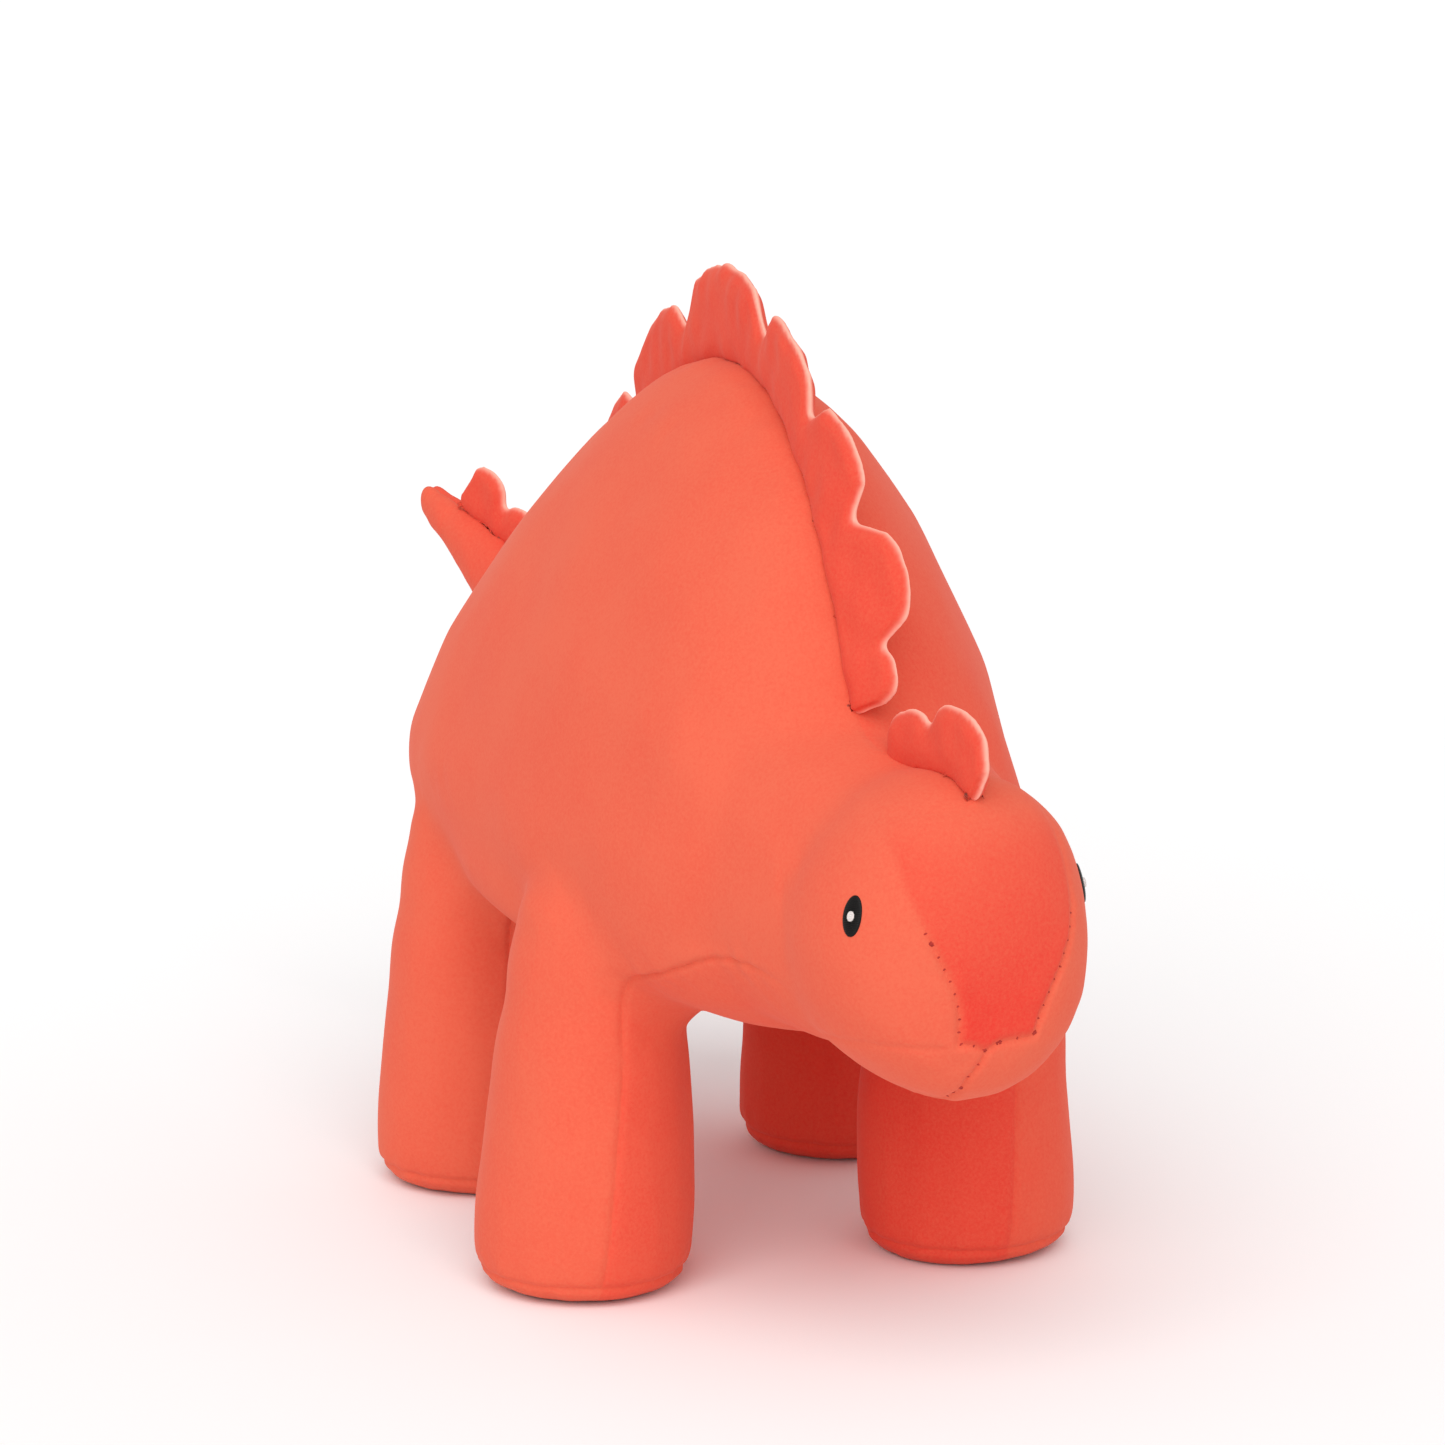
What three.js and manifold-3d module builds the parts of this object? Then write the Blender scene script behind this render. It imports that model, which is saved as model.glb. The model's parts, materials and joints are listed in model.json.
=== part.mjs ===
// A stuffed stegosaurus, in millimetres, +Z up. It faces -Y and stands on four padded feet.
// Each soft body is a core of polyester stuffing inside fabric panels, which meet in sewn seams.
import * as THREE from "three";
import { mergeVertices } from "three/addons/utils/BufferGeometryUtils.js";
import Module from "manifold-3d";

const wasm = await Module();
wasm.setup();

// ---- Driving dimensions ----
const SKIN = 2.0; // velour with its backing
const GAP = 0.4; // room between neighbouring pieces
const PLAY = 1.0; // room round a piece that moves
const SEAM_GAP = 0.5; // room between two panels along a seam
const FAR = 400; // longer than the toy, for cutting blocks
const BALL_DETAIL = 16; // sides of a ball
const SMALL_BALL_DETAIL = 12; // and of a small one
const ROD = 100; // length of the rod that cuts out an eye
const DOME_STEPS = 5; // from a hip's side to its top
const RIDGE_STEPS = 24; // in the curve under a strip of plates

// Torso sections along Y: spine and belly heights, half width, height of the widest point, and how far
// the spine lies off the middle, towards the toy's left.
const TORSO = [
  { y: -118, top: 155, bottom: 83, half: 37, mid: 112, lean: -3 },
  { y: -109, top: 174, bottom: 78, half: 44, mid: 110, lean: -3 },
  { y: -90, top: 202, bottom: 75, half: 52.5, mid: 105, lean: -3 },
  { y: -60, top: 222, bottom: 74, half: 61, mid: 100, lean: -1.5 },
  { y: -28, top: 231, bottom: 74, half: 67, mid: 98, lean: 0 },
  { y: 5, top: 229, bottom: 75, half: 69, mid: 99, lean: 0 },
  { y: 38, top: 215, bottom: 76, half: 70.5, mid: 102, lean: 0 },
  { y: 70, top: 191, bottom: 77, half: 66, mid: 105, lean: 0 },
  { y: 91, top: 167, bottom: 80, half: 55, mid: 109, lean: 0 },
  { y: 104, top: 147, bottom: 87, half: 40, mid: 113, lean: 0 },
];
const TORSO_PINCH = 0.33; // how far the flanks draw in towards the spine seam
const TORSO_SQUARE = 2.6; // exponent of the rounded underside
const TORSO_RINGS = 15;
const TORSO_SIDES = 20;
const BELLY = { half: 33, top: 90 }; // the belly panel reaches this far out and up

// Head sections along Y, before the head is turned. The neck ball is at its back.
const NECK = new THREE.Vector3(0, -125, 110);
const NECK_BALL = 31;
const NECK_CORE = 15; // ball of stuffing that joins the head to the torso
const HEAD_BACK = 9; // the head's stuffing ends this far behind the neck's centre
const HEAD_TURN = 12; // degrees, towards the toy's left
const NOD = { up: 4, down: 10 }; // how far the head nods, in degrees
const TURN = 12; // and turns this far to each side
const HEAD = [
  { y: -128, top: 145, bottom: 83, half: 28, mid: 112, lean: 0 },
  { y: -139, top: 151, bottom: 76, half: 34, mid: 113, lean: 0 },
  { y: -152, top: 153.5, bottom: 74, half: 36, mid: 113, lean: 0 },
  { y: -164, top: 152, bottom: 74, half: 34.5, mid: 112, lean: 0 },
  { y: -174, top: 145.5, bottom: 76, half: 29.5, mid: 109, lean: 0 },
  { y: -181, top: 133, bottom: 82, half: 21, mid: 105, lean: 0 },
  { y: -184, top: 118, bottom: 90, half: 11.5, mid: 102, lean: 0 },
];
const HEAD_PINCH = -0.12; // the forehead is fuller than an oval
const HEAD_SQUARE = 2.1;
const HEAD_RINGS = 9;
const HEAD_SIDES = 18;
const FOREHEAD = { halfAtNose: 9.5, halfAtBack: 24, length: 79, mouth: 91 }; // forehead panel and mouth seam
const EYE = { side: 68, y: -152, z: 123.5, width: 6.5, height: 10.1, thick: 0.7, glint: 1.1 };

// Tail sections from its ball to its tip, before the tail is turned to the toy's right.
const TAIL_PIVOT = new THREE.Vector3(0, 102, 122);
const TAIL_BALL = 24;
const TAIL_TURN = 21;
const TAIL = [
  { y: 102, z: 122, r: 24 },
  { y: 124, z: 129, r: 16.5 },
  { y: 145, z: 141, r: 11.5 },
  { y: 163, z: 151, r: 8 },
  { y: 178, z: 158, r: 5.5 },
  { y: 186, z: 161, r: 4 },
];
const TAIL_TOP = { back: 0.35, up: 0.93 }; // from the tail's middle line to its top line, in radii
const WAG = 15; // the tail swings this far to each side of its rest, in degrees
const TAIL_RINGS = 7;
const TAIL_SIDES = 12;

// Legs: the hip is the centre of the leg's domed top, and the profile runs from the sole to it.
const HIP = { x: 50, y: 50, z: 88, ball: 25 };
const LEG = [
  { z: 0, r: 22 },
  { z: 2.5, r: 26 },
  { z: 9, r: 28.2 },
  { z: 20, r: 28.5 },
  { z: 40, r: 27 },
  { z: 60, r: 24.2 },
  { z: 75, r: 23 },
];
const LEG_SIDES = 16;
const LEG_FLARE = 7; // extra room round the leg, half way down to the floor, for its swing
const SOLE_TOP = 5;
const PANEL_TOP = 100; // leg panels end here, inside the torso
const SPLAY_TOP = 70; // below this height a leg leans outwards

// Plates: one scalloped strip each on the spine, the head and the tail, from front to back.
const PLATE = { thick: 6, face: 1.7, roundness: 2.6 };
const SPINE_PLATES = [
  { length: 13, height: 15, lean: 30 },
  { length: 31, height: 23, lean: 33 },
  { length: 30, height: 22, lean: 12 },
  { length: 37, height: 22, lean: -4 },
  { length: 62, height: 22.5, lean: 0 },
  { length: 50, height: 22, lean: 0 },
  { length: 44, height: 23, lean: 0 },
];
const HEAD_PLATES = [
  { length: 21, height: 17, lean: 0 },
  { length: 17, height: 14, lean: 0 },
];
const TAIL_PLATES = [
  { length: 14, height: 10, lean: 0 },
  { length: 19, height: 11.5, lean: 0 },
  { length: 18, height: 15, lean: 0 },
];
// Where each strip starts along its ridge, and its height between two plates.
const STRIP = {
  spine: { start: 5, valley: 10 },
  head: { start: 0.5, valley: 9 },
  tail: { start: 25, valley: 6 },
};
const HEAD_RIDGE_FRONT = -171;
const PLATE_STEPS = 6; // stations in each plate

const COLOR = { velour: 0xf4654e, gusset: 0xf15a46, fibre: 0xf3efe6, black: 0x14110f, white: 0xf4f2ee };

// ---- Solids ----
function solidOf(geometry) {
  const bare = new THREE.BufferGeometry();
  bare.setAttribute("position", geometry.getAttribute("position"));
  if (geometry.index) bare.setIndex(geometry.index);
  const merged = mergeVertices(bare, 1e-4);
  return new wasm.Manifold(
    new wasm.Mesh({
      numProp: 3,
      vertProperties: new Float32Array(merged.attributes.position.array),
      triVerts: new Uint32Array(merged.index.array),
    }),
  );
}

const joined = (solids) => solids.reduce((a, b) => a.add(b));
const largest = (solid) => solid.decompose().reduce((a, b) => (b.volume() > a.volume() ? b : a));

// A closed surface through rings of points. `cap` lists the triangles that close a ring.
function skinOver(rings, cap) {
  const sides = rings[0].length;
  const last = (rings.length - 1) * sides;
  const index = [];
  for (let i = 0; i + 1 < rings.length; i++)
    for (let j = 0; j < sides; j++) {
      const a = i * sides + j;
      const b = i * sides + ((j + 1) % sides);
      index.push(a, b, a + sides, b, b + sides, a + sides);
    }
  for (const [a, b, c] of cap) {
    index.push(b, a, c);
    index.push(last + a, last + b, last + c);
  }
  const geometry = new THREE.BufferGeometry().setFromPoints(rings.flat());
  geometry.setIndex(index);
  const solid = solidOf(geometry);
  if (solid.volume() > 0) return solid;
  geometry.setIndex(index.toReversed());
  return solidOf(geometry);
}

// The cap of a convex ring with this many points.
const fan = (sides) => Array.from({ length: sides - 2 }, (_, j) => [0, j + 1, j + 2]);

// Smooth values between the stations of a table, at n + 1 even steps.
function smoothed(stations, n) {
  const keys = Object.keys(stations[0]);
  const curves = keys.map((k) => {
    const points = stations.map((s, i) => new THREE.Vector3(i, s[k], 0));
    return new THREE.CatmullRomCurve3(points, false, "catmullrom", 0.5);
  });
  return Array.from({ length: n + 1 }, (_, i) =>
    Object.fromEntries(keys.map((k, m) => [k, curves[m].getPoint(i / n).y])),
  );
}

// One upright section: drawn in towards the spine above, a rounded square below.
function section(s, inset, shape) {
  const half = Math.max(s.half - inset, 1);
  const up = Math.max(s.top - inset - s.mid, 1);
  const down = Math.max(s.mid - s.bottom - inset, 1);
  return Array.from({ length: shape.sides }, (_, j) => {
    const angle = (2 * Math.PI * (j + 0.5)) / shape.sides;
    const c = Math.cos(angle);
    const across = Math.sin(angle);
    const off = s.lean * THREE.MathUtils.smoothstep(c, 0, 1);
    const drawn = half * across * (1 - shape.pinch * c * c);
    if (c >= 0) return new THREE.Vector3(drawn + off, s.y, s.mid + up * c);
    const k = (Math.abs(across) ** shape.square + Math.abs(c) ** shape.square) ** (-1 / shape.square);
    return new THREE.Vector3(half * across * k, s.y, s.mid + down * c * k);
  });
}

function loft(table, inset, shape) {
  const stations = smoothed(table, shape.rings);
  const forward = Math.sign(table[0].y - table.at(-1).y);
  stations[0].y -= inset * forward;
  stations.at(-1).y += inset * forward;
  return skinOver(stations.map((s) => section(s, inset, shape)), fan(shape.sides));
}

function ball(centre, radius, detail = BALL_DETAIL) {
  const geometry = new THREE.SphereGeometry(radius, detail, detail / 2);
  return solidOf(geometry).rotate([90, 0, 0]).translate(centre.toArray());
}

function block(x0, x1, y0, y1, z0, z1) {
  const geometry = new THREE.BoxGeometry(x1 - x0, y1 - y0, z1 - z0);
  return solidOf(geometry).translate([(x0 + x1) / 2, (y0 + y1) / 2, (z0 + z1) / 2]);
}

// ---- Outer forms of the soft bodies, each drawn in by an inset ----
const TORSO_SHAPE = { rings: TORSO_RINGS, sides: TORSO_SIDES, pinch: TORSO_PINCH, square: TORSO_SQUARE };
const HEAD_SHAPE = { rings: HEAD_RINGS, sides: HEAD_SIDES, pinch: HEAD_PINCH, square: HEAD_SQUARE };

const torsoForm = (inset) => loft(TORSO, inset, TORSO_SHAPE);

function headForm(inset) {
  const behind = block(-FAR, FAR, NECK.y + HEAD_BACK, FAR, -FAR, FAR);
  return loft(HEAD, inset, HEAD_SHAPE).add(ball(NECK, NECK_BALL - inset)).subtract(behind);
}

function tailForm(inset) {
  const stations = smoothed(TAIL, TAIL_RINGS);
  const rings = stations.map((s, i) => {
    const before = stations[Math.max(i - 1, 0)];
    const after = stations[Math.min(i + 1, TAIL_RINGS)];
    const along = new THREE.Vector3(0, after.y - before.y, after.z - before.z).normalize();
    const up = new THREE.Vector3(0, -along.z, along.y);
    const centre = new THREE.Vector3(0, s.y, s.z).addScaledVector(along, i < TAIL_RINGS ? 0 : -inset);
    return Array.from({ length: TAIL_SIDES }, (_, j) => {
      const angle = (2 * Math.PI * (j + 0.5)) / TAIL_SIDES;
      const r = Math.max(s.r - inset, 1);
      const across = new THREE.Vector3(r * Math.sin(angle), 0, 0);
      return across.add(centre).addScaledVector(up, r * Math.cos(angle));
    });
  });
  return skinOver(rings, fan(TAIL_SIDES)).add(ball(TAIL_PIVOT, TAIL_BALL - inset, SMALL_BALL_DETAIL));
}

function legForm(inset) {
  const side = LEG.map((s, i) => new THREE.Vector2(s.r - inset, i ? s.z : inset));
  const dome = new THREE.Path().absarc(0, HIP.z, HIP.ball - inset, 0, Math.PI / 2).getPoints(DOME_STEPS);
  dome[dome.length - 1].x = 0;
  const profile = [new THREE.Vector2(0, inset), ...side, ...dome];
  return solidOf(new THREE.LatheGeometry(profile, LEG_SIDES)).rotate([90, 0, 0]);
}

// Room for a leg in the torso: its domed top, opening downwards for the swing.
function hipSocket() {
  const radius = HIP.ball + PLAY;
  const dome = new THREE.Path().absarc(0, HIP.z, radius, 0, Math.PI / 2).getPoints(DOME_STEPS);
  dome[dome.length - 1].x = 0;
  const below = HIP.z / 2;
  const profile = [new THREE.Vector2(0, below), new THREE.Vector2(radius + LEG_FLARE, below), ...dome];
  return solidOf(new THREE.LatheGeometry(profile, LEG_SIDES)).rotate([90, 0, 0]);
}

// ---- Places of the bodies ----
const atHip = (solid, side, end) => solid.translate([side * HIP.x, end * HIP.y, 0]);

// A leg's piece at its hip, leaning outwards below.
function asLeg(solid, { side, end, splay }) {
  const leaning = solid.warp((p) => {
    p[0] += (side * splay * Math.max(0, SPLAY_TOP - p[2])) / SPLAY_TOP;
  });
  return atHip(leaning, side, end);
}

function posed(solid, pivot, nod, turn) {
  const back = pivot.toArray().map((v) => -v);
  return solid.translate(back).rotate([nod, 0, 0]).rotate([0, 0, turn]).translate(pivot.toArray());
}

const onHead = (solid, nod = 0, turn = 0) => posed(solid, NECK, nod, HEAD_TURN + turn);
const onTail = (solid, turn = 0) => posed(solid, TAIL_PIVOT, 0, TAIL_TURN + turn);

// Room for the head and the tail over their whole travel.
function roomForHead() {
  const form = headForm(-PLAY);
  const nods = [-NOD.up, 0, NOD.down];
  return joined(nods.flatMap((nod) => [-TURN, 0, TURN].map((turn) => onHead(form, nod, turn))));
}

function roomForTail() {
  const form = tailForm(-PLAY);
  return joined([-1, -0.5, 0, 0.5, 1].map((a) => onTail(form, a * WAG)));
}

// ---- Scalloped plates ----
// Cross-sections of the strip's layers. Each point is the distance from the strip's middle plane, whether
// it is at the rim (1) or at the foot (0), and how far it lies below the rim.
const T = PLATE.thick / 2;
const LINED = T - PLATE.face; // the inner side of a face
const FILLED = LINED - 2 * GAP; // the padding reaches this far out
const SECTION = {
  right: [
    [-T, 0, 0],
    [-T, 1, T],
    [-SEAM_GAP / 2, 1, 0],
    [-SEAM_GAP / 2, 1, PLATE.face],
    [-LINED, 1, T + 1],
    [-LINED, 0, 0],
  ],
  padding: [
    [-FILLED, 0, 0],
    [-FILLED, 1, T + 2],
    [FILLED, 1, T + 2],
    [FILLED, 0, 0],
  ],
};
SECTION.left = SECTION.right.map(([off, rim, below]) => [-off, rim, below]).toReversed();

// The plates' outlines as stations along a strip: the way along, the height and the lean at each.
function scallops(plates, valley) {
  const total = plates.reduce((sum, p) => sum + p.length, 0);
  const stations = [];
  let start = 0;
  plates.forEach((plate, k) => {
    for (let i = k ? 1 : 0; i <= PLATE_STEPS; i++) {
      const u = i / PLATE_STEPS;
      const rise = Math.sqrt(1 - Math.abs(2 * u - 1) ** PLATE.roundness);
      const neighbour = plates[u < 0.5 ? k - 1 : k + 1] ?? plate;
      stations.push({
        along: (start + u * plate.length) / total,
        height: valley + (plate.height - valley) * rise,
        lean: THREE.MathUtils.lerp(plate.lean, neighbour.lean, Math.abs(u - 0.5)),
      });
    }
    start += plate.length;
  });
  return stations;
}

// One layer of a strip that stands on a ridge curve.
function strip(ridge, plates, valley, layer) {
  const rings = scallops(plates, valley).map(({ along, height, lean }) => {
    const foot = ridge.getPointAt(along);
    const tangent = ridge.getTangentAt(along);
    const tilt = THREE.MathUtils.degToRad(lean);
    const up = new THREE.Vector3(0, -tangent.z, tangent.y).applyAxisAngle(tangent, tilt);
    const sideways = new THREE.Vector3(1, 0, 0).applyAxisAngle(tangent, tilt);
    return layer.map(([off, rim, below]) => {
      const h = rim ? height - below : -PLATE.thick;
      return foot.clone().addScaledVector(sideways, off).addScaledVector(up, h);
    });
  });
  const outline = layer.map(([off, rim, below]) => new THREE.Vector2(off, rim * PLATE.thick * T - below));
  const cap = THREE.ShapeUtils.triangulateShape(outline, []);
  return skinOver(rings, cap.map((corners) => corners.toSorted((a, b) => a - b)));
}

const curveOf = (points) => new THREE.CatmullRomCurve3(points.map((p) => new THREE.Vector3(...p)));

// The stretch of a ridge that a set of plates covers.
function stretch(curve, start, plates) {
  const length = plates.reduce((sum, p) => sum + p.length, 0);
  const at = (i) => (start + (length * i) / RIDGE_STEPS) / curve.getLength();
  const points = Array.from({ length: RIDGE_STEPS + 1 }, (_, i) => curve.getPointAt(at(i)));
  return new THREE.CatmullRomCurve3(points);
}

// The top lines of the torso, the head and the tail, each running towards +Y.
const headTop = smoothed(HEAD, 3 * HEAD_RINGS).filter((s) => s.y > HEAD_RIDGE_FRONT);
const tailTop = ({ y, z, r }) => [0, y - r * TAIL_TOP.back, z + r * TAIL_TOP.up];
const RIDGE = {
  spine: curveOf(smoothed(TORSO, TORSO_RINGS).map((s) => [s.lean, s.y, s.top])),
  head: curveOf(headTop.map((s) => [0, s.y, s.top]).toReversed()),
  tail: curveOf(smoothed(TAIL, TAIL_RINGS).map(tailTop)),
};

// ---- Assembly ----
const toy = new THREE.Group();

function add(name, solid, color, roughness = 0.95) {
  const raw = largest(solid).getMesh();
  const points = new Float32Array(raw.numVert * 3);
  for (let i = 0; i < raw.numVert; i++)
    points.set(raw.vertProperties.subarray(i * raw.numProp, i * raw.numProp + 3), i * 3);
  const geometry = new THREE.BufferGeometry();
  geometry.setAttribute("position", new THREE.BufferAttribute(points, 3));
  geometry.setIndex(new THREE.BufferAttribute(raw.triVerts, 1));
  geometry.computeVertexNormals();
  const material = new THREE.MeshStandardMaterial({ color, roughness, metalness: 0 });
  const mesh = new THREE.Mesh(geometry, material);
  mesh.name = name;
  toy.add(mesh);
}

// Halves of a shell on each side of the plane x = 0 of its body.
const rightOf = (solid) => solid.intersect(block(-FAR, -SEAM_GAP / 2, -FAR, FAR, -FAR, FAR));
const leftOf = (solid) => solid.intersect(block(SEAM_GAP / 2, FAR, -FAR, FAR, -FAR, FAR));

// Everything on one side of the spine, which wanders off the middle towards the neck.
function besideSpine(side) {
  const spine = TORSO.map((s) => new THREE.Vector2(s.lean + (side * SEAM_GAP) / 2, s.y));
  const front = spine[0].clone().setY(-FAR);
  const back = spine.at(-1).clone().setY(FAR);
  const corners = [new THREE.Vector2(side * FAR, FAR), new THREE.Vector2(side * FAR, -FAR)];
  const outline = [front, ...spine, back, ...corners];
  const prism = new THREE.ExtrudeGeometry(new THREE.Shape(outline), { depth: FAR, bevelEnabled: false });
  return solidOf(prism);
}
const shellOf = (form) => form(0).subtract(form(SKIN));
const coreOf = (form) => form(SKIN + GAP).subtract(shellOf(form));

const LEGS = [
  { name: "front_right_leg", side: -1, end: -1, splay: 3.5 },
  { name: "front_left_leg", side: 1, end: -1, splay: 0 },
  { name: "rear_right_leg", side: -1, end: 1, splay: 2 },
  { name: "rear_left_leg", side: 1, end: 1, splay: 0 },
];

function buildTorso() {
  const hips = joined(LEGS.map((leg) => atHip(hipSocket(), leg.side, leg.end)));
  const shell = shellOf(torsoForm).subtract(hips).subtract(roomForHead()).subtract(roomForTail());
  const tailSocket = ball(TAIL_PIVOT, TAIL_BALL + 2 * PLAY, SMALL_BALL_DETAIL);
  const sockets = ball(NECK, NECK_BALL + 3 * PLAY).add(tailSocket);
  const { half, top } = BELLY;
  const belly = block(-half, half, -FAR, FAR, 0, top);
  const aroundBelly = block(-half - SEAM_GAP, half + SEAM_GAP, -FAR, FAR, 0, top + SEAM_GAP);
  const flanks = shell.subtract(aroundBelly);
  add("torso_stuffing", coreOf(torsoForm).subtract(hips).subtract(sockets), COLOR.fibre);
  add("right_flank_panel", flanks.intersect(besideSpine(-1)), COLOR.velour);
  add("left_flank_panel", flanks.intersect(besideSpine(1)), COLOR.velour);
  add("belly_panel", shell.intersect(belly), COLOR.gusset);
}

function buildPlates(part, plates, body, place) {
  const { start, valley } = STRIP[part];
  const ridge = stretch(RIDGE[part], start, plates);
  const clear = body(-GAP);
  for (const [layer, name] of [["right", "right_face"], ["padding", "padding"], ["left", "left_face"]]) {
    const solid = strip(ridge, plates, valley, SECTION[layer]).subtract(clear);
    add(`${part}_plates_${name}`, place(solid), layer === "padding" ? COLOR.fibre : COLOR.velour);
  }
}

function buildHead() {
  add("neck_stuffing", ball(NECK, NECK_CORE - PLAY, SMALL_BALL_DETAIL), COLOR.fibre);
  const stuffing = coreOf(headForm).subtract(ball(NECK, NECK_CORE, SMALL_BALL_DETAIL));
  add("head_stuffing", onHead(stuffing), COLOR.fibre);
  const { halfAtNose, halfAtBack, length, mouth } = FOREHEAD;
  const nose = HEAD.at(-1).y - SKIN;
  const back = nose + length;
  const wedge = (grow) => {
    const outline = new THREE.Shape([
      new THREE.Vector2(-halfAtNose - grow, nose),
      new THREE.Vector2(halfAtNose + grow, nose),
      new THREE.Vector2(halfAtBack + grow, back),
      new THREE.Vector2(-halfAtBack - grow, back),
    ]);
    const prism = new THREE.ExtrudeGeometry(outline, { depth: FAR, bevelEnabled: false });
    return solidOf(prism).translate([0, 0, mouth - grow]);
  };
  const shell = shellOf(headForm);
  const cheeks = shell.subtract(wedge(SEAM_GAP));
  add("forehead_panel", onHead(shell.intersect(wedge(0))), COLOR.gusset);
  add("right_cheek_panel", onHead(rightOf(cheeks)), COLOR.velour);
  add("left_cheek_panel", onHead(leftOf(cheeks)), COLOR.velour);
  for (const side of [-1, 1]) buildEye(side);
}

// A satin-stitched oval lying on the cheek, with a small highlight stitched on top of it.
function buildEye(side) {
  const name = side < 0 ? "right" : "left";
  const centre = new THREE.Vector3(0, EYE.y, EYE.z);
  const oval = (width, height) => {
    const rod = solidOf(new THREE.CylinderGeometry(0.5, 0.5, ROD, BALL_DETAIL));
    const ahead = rod.scale([width, 1, height]).translate([0, -ROD / 2, 0]);
    return ahead.rotate([0, 0, side * EYE.side]).translate(centre.toArray());
  };
  const layer = (from, to) => headForm(-to).subtract(headForm(-from));
  const base = GAP;
  const pupil = oval(EYE.width, EYE.height).intersect(layer(base, base + EYE.thick));
  const above = base + EYE.thick + GAP;
  const glint = oval(2 * EYE.glint, 2 * EYE.glint).intersect(layer(above, above + EYE.thick / 2));
  add(`${name}_pupil`, onHead(pupil), COLOR.black, 0.5);
  add(`${name}_eye_highlight`, onHead(glint), COLOR.white, 0.6);
}

function buildTail() {
  const shell = shellOf(tailForm).intersect(block(-FAR, FAR, TAIL_PIVOT.y, FAR, 0, FAR));
  add("tail_stuffing", onTail(coreOf(tailForm)), COLOR.fibre);
  add("tail_right_panel", onTail(rightOf(shell)), COLOR.velour);
  add("tail_left_panel", onTail(leftOf(shell)), COLOR.velour);
}

function buildLeg(leg) {
  const { name, side } = leg;
  const tube = legForm(0).subtract(legForm(SKIN));
  const wall = tube.intersect(block(-FAR, FAR, -FAR, FAR, SOLE_TOP + SEAM_GAP, PANEL_TOP));
  const right = asLeg(rightOf(wall), leg);
  const left = asLeg(leftOf(wall), leg);
  const sole = tube.intersect(block(-FAR, FAR, -FAR, FAR, -1, SOLE_TOP));
  add(`${name}_stuffing`, asLeg(legForm(SKIN + GAP), leg), COLOR.fibre);
  add(`${name}_outer_panel`, side < 0 ? right : left, COLOR.velour);
  add(`${name}_inner_panel`, side < 0 ? left : right, COLOR.gusset);
  add(`${name}_sole`, asLeg(sole, leg), COLOR.velour);
}

buildTorso();
buildPlates("spine", SPINE_PLATES, torsoForm, (solid) => solid);
buildHead();
buildPlates("head", HEAD_PLATES, headForm, onHead);
buildTail();
buildPlates("tail", TAIL_PLATES, tailForm, onTail);
LEGS.forEach(buildLeg);

// The origin is the centre of the footprint of the toy's bounding box, on the floor.
const box = new THREE.Box3().setFromObject(toy);
const middle = box.getCenter(new THREE.Vector3());
toy.position.set(-middle.x, -middle.y, -box.min.z);

export default toy;
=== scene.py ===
"""A stuffed stegosaurus sewn from coral-red velour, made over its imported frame."""

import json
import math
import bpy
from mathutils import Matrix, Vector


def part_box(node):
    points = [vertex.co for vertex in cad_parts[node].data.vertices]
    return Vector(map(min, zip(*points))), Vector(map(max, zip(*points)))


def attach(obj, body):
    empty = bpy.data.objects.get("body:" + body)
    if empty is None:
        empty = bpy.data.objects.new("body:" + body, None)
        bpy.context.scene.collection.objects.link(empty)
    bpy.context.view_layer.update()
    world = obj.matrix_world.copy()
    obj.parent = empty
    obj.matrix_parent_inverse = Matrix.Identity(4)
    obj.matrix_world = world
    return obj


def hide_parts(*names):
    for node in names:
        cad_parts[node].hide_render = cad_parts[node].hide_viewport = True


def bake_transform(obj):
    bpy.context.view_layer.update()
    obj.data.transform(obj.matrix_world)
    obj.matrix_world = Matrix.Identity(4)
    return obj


bl_info = {
    "name": "Stuffed Stegosaurus",
    "version": (1, 0, 0),
    "blender": (4, 5, 0),
    "location": "View3D > Sidebar > Stegosaurus",
    "description": "Sews the velour panels, plates, eyes and seams of a stuffed stegosaurus over its frame",
    "category": "Object",
}

import bmesh
import bpy
import numpy as np
from bpy.props import FloatProperty, FloatVectorProperty, IntProperty, PointerProperty
from mathutils import Vector
from mathutils.bvhtree import BVHTree

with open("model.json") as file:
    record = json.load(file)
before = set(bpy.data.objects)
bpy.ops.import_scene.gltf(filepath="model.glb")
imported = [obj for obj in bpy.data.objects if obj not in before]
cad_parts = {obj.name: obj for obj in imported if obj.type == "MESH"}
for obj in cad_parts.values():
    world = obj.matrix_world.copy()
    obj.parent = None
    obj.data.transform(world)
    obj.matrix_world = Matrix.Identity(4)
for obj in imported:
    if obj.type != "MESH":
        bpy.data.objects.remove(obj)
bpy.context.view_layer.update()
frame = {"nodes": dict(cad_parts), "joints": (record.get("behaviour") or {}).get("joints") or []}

MM = 0.001
JOINTS = {joint["name"]: joint for joint in frame["joints"]}
NECK = np.array(JOINTS["neck_turn"]["pos_m"])
TAIL_ROOT = np.array(JOINTS["tail_swing"]["pos_m"])
LEGS = ("front_right_leg", "front_left_leg", "rear_right_leg", "rear_left_leg")
HIPS = {leg: np.array(JOINTS[leg.replace("_leg", "_hip")]["pos_m"]) for leg in LEGS}
HIP_OUT = abs(HIPS["front_left_leg"][0] - NECK[0])
HEAD_TURN = math.atan2(JOINTS["head_nod"]["axis"][1], JOINTS["head_nod"]["axis"][0])
TAIL_TURN = math.radians(21)
EYE_SIDE = math.radians(68)  # the eyes look this far to each side of the nose

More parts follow.
